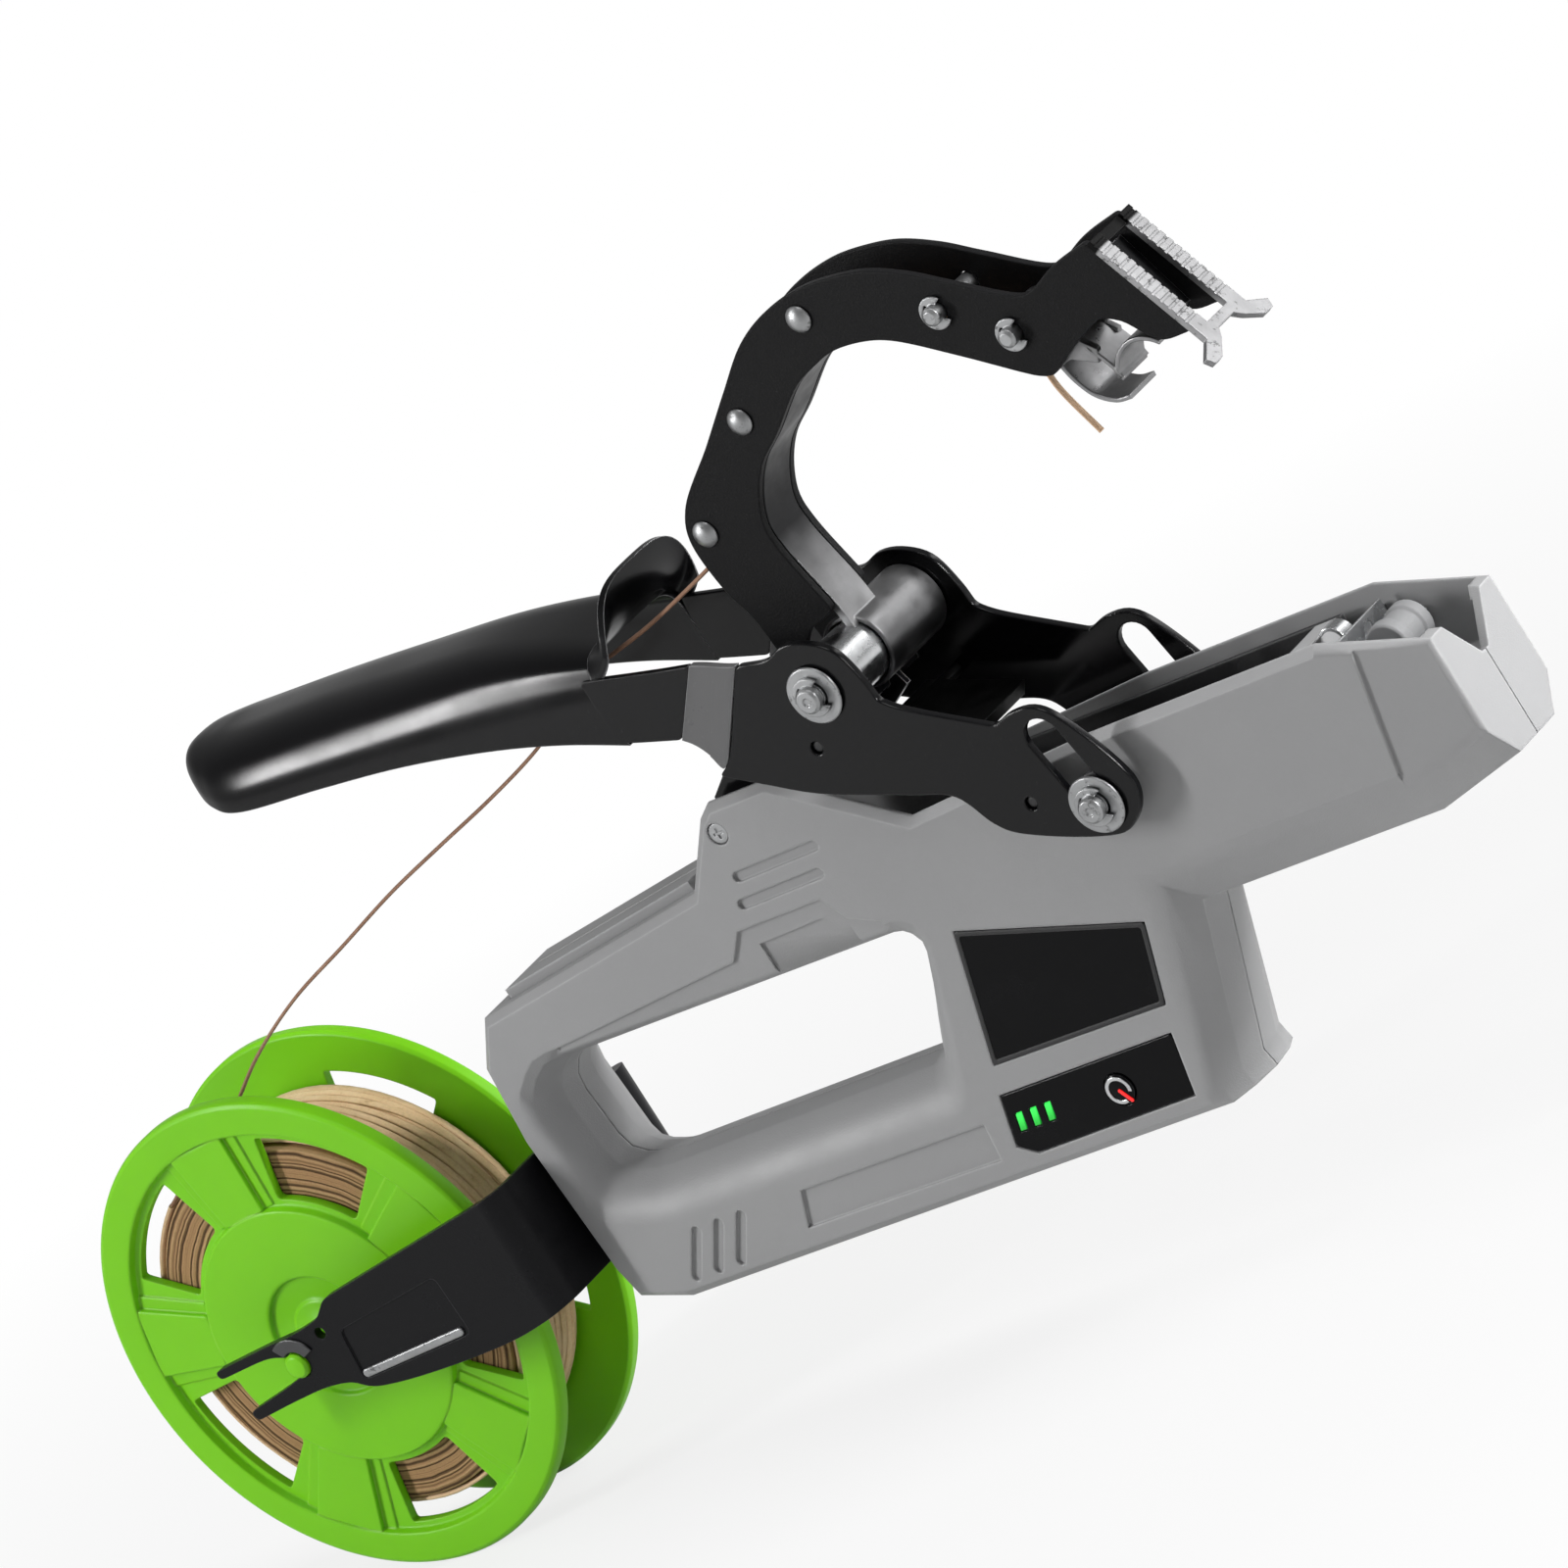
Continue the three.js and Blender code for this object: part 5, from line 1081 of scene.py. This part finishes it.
def lever_side(name):
    """The right front plate and flank, and the step that joins them."""
    slot = capsule(at(0.485, -0.28), at(0.522, -0.462), 0.009)
    holes = [slot, circle(at(0, 0), PIN_HOLE), *[circle(at(*p), 0.0016, 24) for p in DIMPLES]]
    outline = flowing(drawn(LEVER_PLATE))
    plate = slab(f"{name}_plate", outline, -PLATE_OUTSIDE, -PLATE_INSIDE, bevel=0.00035, holes=holes)
    outline = flowing(drawn(FLANK), corner=30)
    side = slab(f"{name}_flank", outline, -HANDLE_HALF, -HANDLE_HALF + LEVER_SHEET, bevel=0.00035)
    lows = spline_points(drawn(STEP_LOW), 0.001)
    highs = [Vector(p) for p in drawn(STEP_HIGH)]
    rings = []
    rows, thick = 16, 0.0019
    for i in range(rows + 1):
        t = i / rows
        y = -(HANDLE_HALF + (PLATE_OUTSIDE - HANDLE_HALF) * (t * t * (3 - 2 * t)))
        low = lows[round(t * (len(lows) - 1))]
        high = highs[0].lerp(highs[1], t)
        rings.append([
            (low.x, y, low.y), (high.x, y, high.y), (high.x, y + thick, high.y), (low.x, y + thick, low.y),
        ])
    step = tube(f"{name}_step", rings, 50)
    return joined(name, [plate, side]), step


def make_lever():
    put(make_handle(), "lever", "paint", "lever_sheet")
    put(make_lip(), "lever", "paint")
    right, step = lever_side("lever_side_right")
    # the step takes the grey joggle finish, a painted sheen on its bend
    for piece, look in ((right, "paint"), (step, "joggle")):
        put(mirrored(piece, piece.name.replace("right", "left")), "lever", look)
        put(piece, "lever", look)
    dimples = []
    for x, z in DIMPLES:
        for sign in (-1, 1):
            plug = rod_profile(0.00155, *span(sign, PLATE_INSIDE + 0.0001, 0.0219))
            dimples.append(turned(f"dimple_{x}_{sign}", plug, at(x, z), 24))
    put(joined("lever_dimples", dimples), "lever", "dark")
    put(refined("lever_tongue"), "lever", "paint", "lever_tongue")
    put(refined("laminated_core"), "lever", "core", "laminated_core")


make_lever()


# Arm. The web follows the inner edge of its plates
INNER_EDGE = [
    (0.734, 0.526), (0.589, 0.619), (0.523, 0.641), (0.433, 0.649), (0.362, 0.634), (0.292, 0.61),
    (0.171, 0.53), (0.087, 0.479), (0.029, 0.413), (-0.001, 0.349), (0, 0.29), (0.039, 0.123),
]
ARM_PLATE = [
    (-0.152, 0.01), (-0.174, 0.177), (-0.197, 0.241), (-0.209, 0.387), (-0.172, 0.456), (-0.018, 0.57),
    (0.105, 0.663), (0.219, 0.745), (0.319, 0.786), (0.44, 0.8054), (0.537, 0.8), (0.627, 0.782),
    (0.723, 0.739), (0.809, 0.685), (0.96, 0.597), (0.997, 0.6), (1.075, 0.628), (1.186, 0.648),
    (1.306, 0.382), (1.223, 0.39), (1.158, 0.46), (1.113, 0.484), (1.043, 0.462), (0.974, 0.433),
    (0.923, 0.41), (0.889, 0.42), (0.861, 0.437), *INNER_EDGE, (0, 0.108), (-0.05, 0.096),
    (-0.092, 0.056), (-0.108, 0.002), (-0.1, -0.05), (-0.13, -0.05),
]
WEB = [(0.788, 0.488), *INNER_EDGE, (0.051, 0.025)]
WEB_HALF = 0.0057
RIVETS = [(-0.156, 0.389), (0.104, 0.589), (0.403, 0.745)]
TIP_PINS = [(0.742, 0.638), (0.89, 0.529)]
WASHER = 0.0009
CLIP = 0.0008
SLEEVE_HALF = 0.0204


def e_clip(name, centre, outer, inner, low, high):
    """A snap clip: an open ring with a waist and a mouth."""
    waist = inner + (outer - inner) * 0.4
    ring = arc(centre, outer, 42, 318, 40)
    for radius, start, end, count in (
        (inner, 306, 250, 8), (waist, 240, 205, 8), (inner, 195, 165, 6), (waist, 155, 120, 8),
        (inner, 110, 54, 8),
    ):
        ring += arc(centre, radius, start, end, count)
    return slab(name, filleted(ring, 0.0002, 2), low, high, bevel=0.00018)


def half_pin(name, centre, sign, inner_end):
    """One half of a turned pin, with its groove and its clip."""
    clip_low = PLATE_OUTSIDE + CLEARANCE + WASHER + CLEARANCE
    reach = clip_low + CLIP + 0.002
    radius, groove = 0.0031, 0.0026
    profile = [
        (0, inner_end), (radius, inner_end), (radius, clip_low), (groove, clip_low),
        (groove, clip_low + CLIP), (radius, clip_low + CLIP), (radius, reach - 0.0006),
        (0.0025, reach), (0.0011, reach), (0.0008, reach - 0.0004), (0, reach - 0.0004),
    ]
    pin = turned(f"{name}_pin_{sign}", profile, centre, 48)
    clip = e_clip(f"{name}_clip_{sign}", centre, 0.0047, 0.0028, clip_low, clip_low + CLIP)
    both = joined(f"{name}_{sign}", [pin, clip])
    if sign < 0:
        flip(both.data)
    return both


def make_pins():
    fulcrum, arm = at(0.522, -0.462), at(0, 0)
    for side, sign in SIDES:
        put(half_pin(f"fulcrum_{side}", fulcrum, sign, 0.0119), "housing", "zinc", f"fulcrum_pin_{side}")
        tube_ends = ring_profile(0.0064, PIN_HOLE, *span(sign, 0.0163, SLEEVE_HALF))
        put(turned(f"spacer_{side}", tube_ends, fulcrum, 64), "housing", "dark", f"fulcrum_spacer_{side}")
        low, high = span(sign, PLATE_OUTSIDE + CLEARANCE, PLATE_OUTSIDE + CLEARANCE + WASHER)
        profile = ring_profile(0.0069, PIN_HOLE, low, high, 0.0003)
        for label, centre, node, body in (
            ("fulcrum", fulcrum, "fulcrum_washer", "housing"), ("arm", arm, "pivot_washer", "lever"),
        ):
            face = turned(f"{label}_washer_face_{side}", profile, centre, 72)
            put(face, body, "zinc", f"{node}_{side}")
    halves = [half_pin("arm_pin", arm, sign, 0.0) for sign in (-1, 1)]
    put(joined("arm_pin_turned", halves), "lever", "zinc", "arm_pivot_pin")


make_pins()


def make_arm():
    plate_inside, plate_outside, clip_outside = 0.006, 0.008, 0.009
    for side, sign in SIDES:
        holes = [circle(at(*p), 0.0025, 28) for p in RIVETS + TIP_PINS]
        low, high = span(sign, plate_inside, plate_outside)
        plate = slab(f"arm_side_{side}", flowing(drawn(ARM_PLATE)), low, high, holes=holes)
        put(plate, "arm", "plate", f"arm_plate_{side}")
    outline = thickened(spline_points(drawn(WEB), 0.001), 0.002)
    strip = slab("web_strip", outline, -WEB_HALF, WEB_HALF, bevel=0.0002)
    sleeve = turned("web_sleeve", ring_profile(0.009, 0.0078, -0.004, SLEEVE_HALF, 0.0004), at(0, 0), 96)
    put(joined("arm_web_sheet", [strip, sleeve]), "arm", "satin", "arm_web")
    bush = ring_profile(0.0075, PIN_HOLE, -SLEEVE_HALF, SLEEVE_HALF, 0.0004)
    put(turned("bush_turned", bush, at(0, 0), 96), "lever", "steel", "arm_bush")
    head = [
        (0, 0.0096), (0.0012, 0.00955), (0.0022, 0.0092), (0.003, 0.0086), (0.0032, 0.0083), (0.0022, 0.0083),
    ]
    rivet = [(radius, -y) for radius, y in head] + head[::-1]
    for i, place in enumerate(RIVETS, 1):
        put(turned(f"rivet_turned_{i}", rivet, at(*place), 40), "arm", "zinc", f"arm_rivet_{i}")
    clip, stub = 0.0007, 0.0026
    reach = plate_outside + clip + stub
    half = [(0, reach), (0.0014, reach), (0.0022, reach - 0.0006)]
    rod = [(radius, -y) for radius, y in half] + half[::-1]
    for i, place in enumerate(TIP_PINS):
        parts = [turned(f"tip_rod_{i}", rod, at(*place), 40)]
        for sign in (-1, 1):
            low, high = span(sign, plate_outside + CLEARANCE, clip_outside)
            parts.append(e_clip(f"tip_clip_{i}_{sign}", at(*place), 0.0039, 0.0021, low, high))
        put(joined(f"tip_pin_turned_{i + 1}", parts), "arm", "zinc", f"tip_pin_{i + 1}")
    put(refined("tip_fork"), "arm", "rail", "tip_fork")
    put(refined("tip_block"), "arm", "plate", "tip_block")


make_arm()


# Holder
LEAF_UPPER = [(1.003, 0.452), (1.028, 0.41), (1.048, 0.37)]
LEAF_LOWER = [(0.926, 0.43), (0.94, 0.375), (0.968, 0.325), (1.013, 0.295), (1.053, 0.29)]
HOLDER_STRAP = [
    (0.873, 0.52), (0.923, 0.415), (0.968, 0.42), (1.028, 0.39), (1.043, 0.42), (1.008, 0.458),
    (0.908, 0.535),
]


def make_holder():
    """Two leaves of spring sheet, one of them curled, between two straps on the front pin."""

    def leaf(name, points):
        outline = thickened(spline_points(points, 0.0008), -0.0011)
        return slab(name, outline, -WEB_HALF, WEB_HALF)

    curl = arc(at(1.136, 0.323), 0.0078, 172, 42, 12)
    parts = [
        leaf("holder_curl", [*drawn(LEAF_UPPER), *curl]),
        leaf("holder_leaf", drawn(LEAF_LOWER)),
    ]
    for sign in (-1, 1):
        low, high = span(sign, WEB_HALF, 0.0037)
        parts.append(slab(f"holder_strap_{sign}", drawn(HOLDER_STRAP), low, high))
        ear = ring_profile(0.0045, 0.0025, low, high)
        parts.append(turned(f"holder_ear_{sign}", ear, at(*TIP_PINS[1]), 40))
    put(joined("holder_sheet", parts), "holder", "spring", "tape_holder")


make_holder()


# Housing
SCREEN = [(-0.094, -0.636), (0.395, -0.77), (0.32, -0.965), (-0.206, -0.961)]
PANEL = [(-0.24, -1.029), (0.29, -1.028), (0.252, -1.185), (-0.231, -1.188), (-0.279, -1.157)]
FACE = -0.01585  # the right shell's flat, where the display and the panel sit


def inset(points, distance):
    vectors = [Vector(p) for p in points]
    area = sum(a.x * b.y - b.x * a.y for a, b in zip(vectors, vectors[1:] + vectors[:1]))
    turn = math.copysign(1, area)
    made = []
    for i, here in enumerate(vectors):
        before = here - vectors[i - 1]
        after = vectors[(i + 1) % len(vectors)] - here
        a = Vector((-before.y, before.x)).normalized()
        b = Vector((-after.y, after.x)).normalized()
        miter = a + b
        made.append(tuple(here + miter * (2 * turn * distance / miter.length_squared)))
    return made


def make_screen():
    screen = drawn(SCREEN)
    outline = filleted(inset(screen, CLEARANCE), 0.0008)
    glass = slab("screen_glass", outline, FACE - 0.0002, FACE + 0.001, steps=3)
    put(glass, "housing", "gloss", "screen_window")
    outer = filleted(inset(screen, 0.0001), 0.001)
    inner = filleted(inset(screen, 0.0013), 0.0008)
    bezel = slab("screen_bezel", outer, FACE - 0.0004, FACE - 0.00005, bevel=0.00015, holes=[inner])
    put(bezel, "housing", "dark")


def make_panel():
    """The panel with its lamps' slots and the round button."""
    button = at(0.075, -1.111)
    lamp_x, lamp_z = at(-0.226, -1.105)
    half, tall, lean, pitch = 0.0011, 0.0023, 0.0006, 0.0044
    slots = []
    for i in range(3):
        x, low, high = lamp_x + i * pitch, lamp_z - tall, lamp_z + tall
        slots.append([
            (x - half - lean, low), (x + half - lean, low), (x + half + lean, high), (x - half + lean, high),
        ])
    outline = filleted(inset(drawn(PANEL), CLEARANCE), 0.0008)
    holes = [circle(button, 0.0041), *slots]
    plate = slab("panel_face", outline, FACE - 0.0001, FACE + 0.00085, bevel=0.00025, holes=holes)
    put(plate, "housing", "gloss", "control_panel")
    put(refined("charge_lamps"), "housing", "lamp", "charge_lamps")
    profile = [
        (0, -0.0165), (0.0032, -0.0165), (0.0037, -0.0162), (0.0038, -0.0158), (0.0038, -0.0149),
        (0, -0.0149),
    ]
    put(turned("button_cap", profile, button, 64), "button", "gloss", "power_button")
    raised = (-0.01675, -0.0164)
    ring = arc(button, 0.0034, -20, 285, 44) + arc(button, 0.0025, 285, -20, 44)
    put(slab("button_ring", ring, *raised, bevel=0.0001), "button", "steel")
    x, z = button
    bar = capsule((x + 0.0002, z - 0.0002), (x + 0.0019, z - 0.0031), 0.0009)
    put(slab("button_bar", bar, *raised, bevel=0.0001), "button", "red")


def make_housing():
    for side in ("right", "left"):
        put(refined(f"shell_{side}", 26), "housing", "shell", f"shell_{side}")
    make_screen()
    make_panel()
    put(refined("trigger_paddle"), "paddle", "shell", "trigger_paddle")
    put(refined("shell_screw"), "housing", "zinc", "shell_screw")


make_housing()


def make_nose():
    roller = at(1.275, -0.43)
    profile = [
        (0.0018, -0.004), (0.005, -0.004), (0.0055, -0.0035), (0.0055, -0.001), (0.0048, -0.0003),
        (0.0048, 0.0043), (0.0055, 0.005), (0.0055, 0.0075), (0.005, 0.008), (0.0018, 0.008),
    ]
    put(turned("roller_turned", profile, roller, 64), "roller", "shell_dark", "nose_roller")
    axle = rod_profile(0.0015, -0.0129, 0.0129)
    put(turned("roller_axle", axle, roller, 32), "housing", "steel", "roller_pin")
    put(refined("feed_hook", 50), "housing", "steel", "feed_hook")
    for node, look in (
        ("staple_magazine", "wall"), ("magazine_gate", "shell"), ("cutter_plate", "wall"),
        ("staple_strip", "zinc"),
    ):
        put(refined(node), NODES[node]["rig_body"], look, node)


make_nose()
plain(["battery_cell_rear", "battery_cell_front"], "sleeve")
plain(["drive_motor", "drive_pinion", "staple_driver", "pusher_rod", "cutter_blade"], "steel")
plain(["gearbox_case", "staple_pusher", "trigger_switch"], "dark")
plain(["circuit_board"], "board")


# Stage
def make_stage():
    """A pale floor that the camera sees as white away from the object's shade."""
    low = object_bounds()[0].z
    half = 6
    corners = [(-half, -half, low), (half, -half, low), (half, half, low), (-half, half, low)]
    mesh = bpy.data.meshes.new("floor")
    mesh.from_pydata(corners, [], [(0, 1, 2, 3)])
    floor = link("floor", mesh)
    s = Shader("floor", grey(0.55), 0.9, specular=0.1)
    path = s.node("ShaderNodeLightPath").outputs
    glow = s.node("ShaderNodeEmission")
    s.feed(glow, Color=(1, 1, 1, 1))
    seen = s.math("MAXIMUM", path["Is Camera Ray"], s.math("MULTIPLY", path["Is Glossy Ray"], 0.35))
    away = s.ramp(s.distance(s.place, "X", "Y"), 0.25, 0.7, 0.8, 1.0)
    blend = s.node("ShaderNodeMixShader")
    s.link(s.math("MULTIPLY", seen, away), blend.inputs["Fac"])
    s.link(s.main.outputs["BSDF"], blend.inputs[1])
    s.link(glow.outputs["Emission"], blend.inputs[2])
    s.link(blend.outputs["Shader"], s.tree.nodes["Material Output"].inputs["Surface"])
    floor.data.materials.append(s.material)


def make_world():
    """White to the camera; dim to the object, with a paler band at the foot for what it mirrors."""
    world = bpy.data.worlds.new("studio")
    bpy.context.scene.world = world
    world.use_nodes = True
    t = Nodes(world.node_tree)
    path = t.node("ShaderNodeLightPath").outputs
    shiny = t.math("MAXIMUM", path["Is Glossy Ray"], path["Is Transmission Ray"])
    place = t.node("ShaderNodeTexCoord").outputs["Generated"]
    wall = t.ramp(t.axes(place)["Z"], 0.12, 0.4, 0.45, 0.2)
    level = t.mixed(path["Is Camera Ray"], t.mixed(shiny, 0.2, wall), 1.0)
    t.feed(t.tree.nodes["Background"], Color=(1, 1, 1, 1), Strength=level)


def aim(name, place, target, size, power):
    data = bpy.data.lights.new(name, "AREA")
    data.shape = "RECTANGLE"
    data.size, data.size_y = size
    data.energy = power
    made = link(name, data)
    made.location = place
    made.rotation_euler = (Vector(target) - Vector(place)).to_track_quat("-Z", "Y").to_euler()


def make_lights():
    centre = (0.02, 0, 0)
    aim("key", (-0.95, -1.0, 0.58), centre, (0.2, 0.85), 6.5)
    aim("strip", (-0.93, -1.02, 0.66), centre, (0.05, 0.9), 10)
    aim("top", (0.55, -0.25, 1.45), centre, (1.0, 0.4), 7)
    aim("right", (1.3, 0.15, 0.5), (0.24, 0, 0.04), (0.3, 0.3), 24)
    aim("rim", (0.7, 1.3, 0.5), centre, (0.5, 0.9), 5)


make_stage()
make_world()
make_lights()
bpy.context.scene.view_settings.view_transform = "Standard"
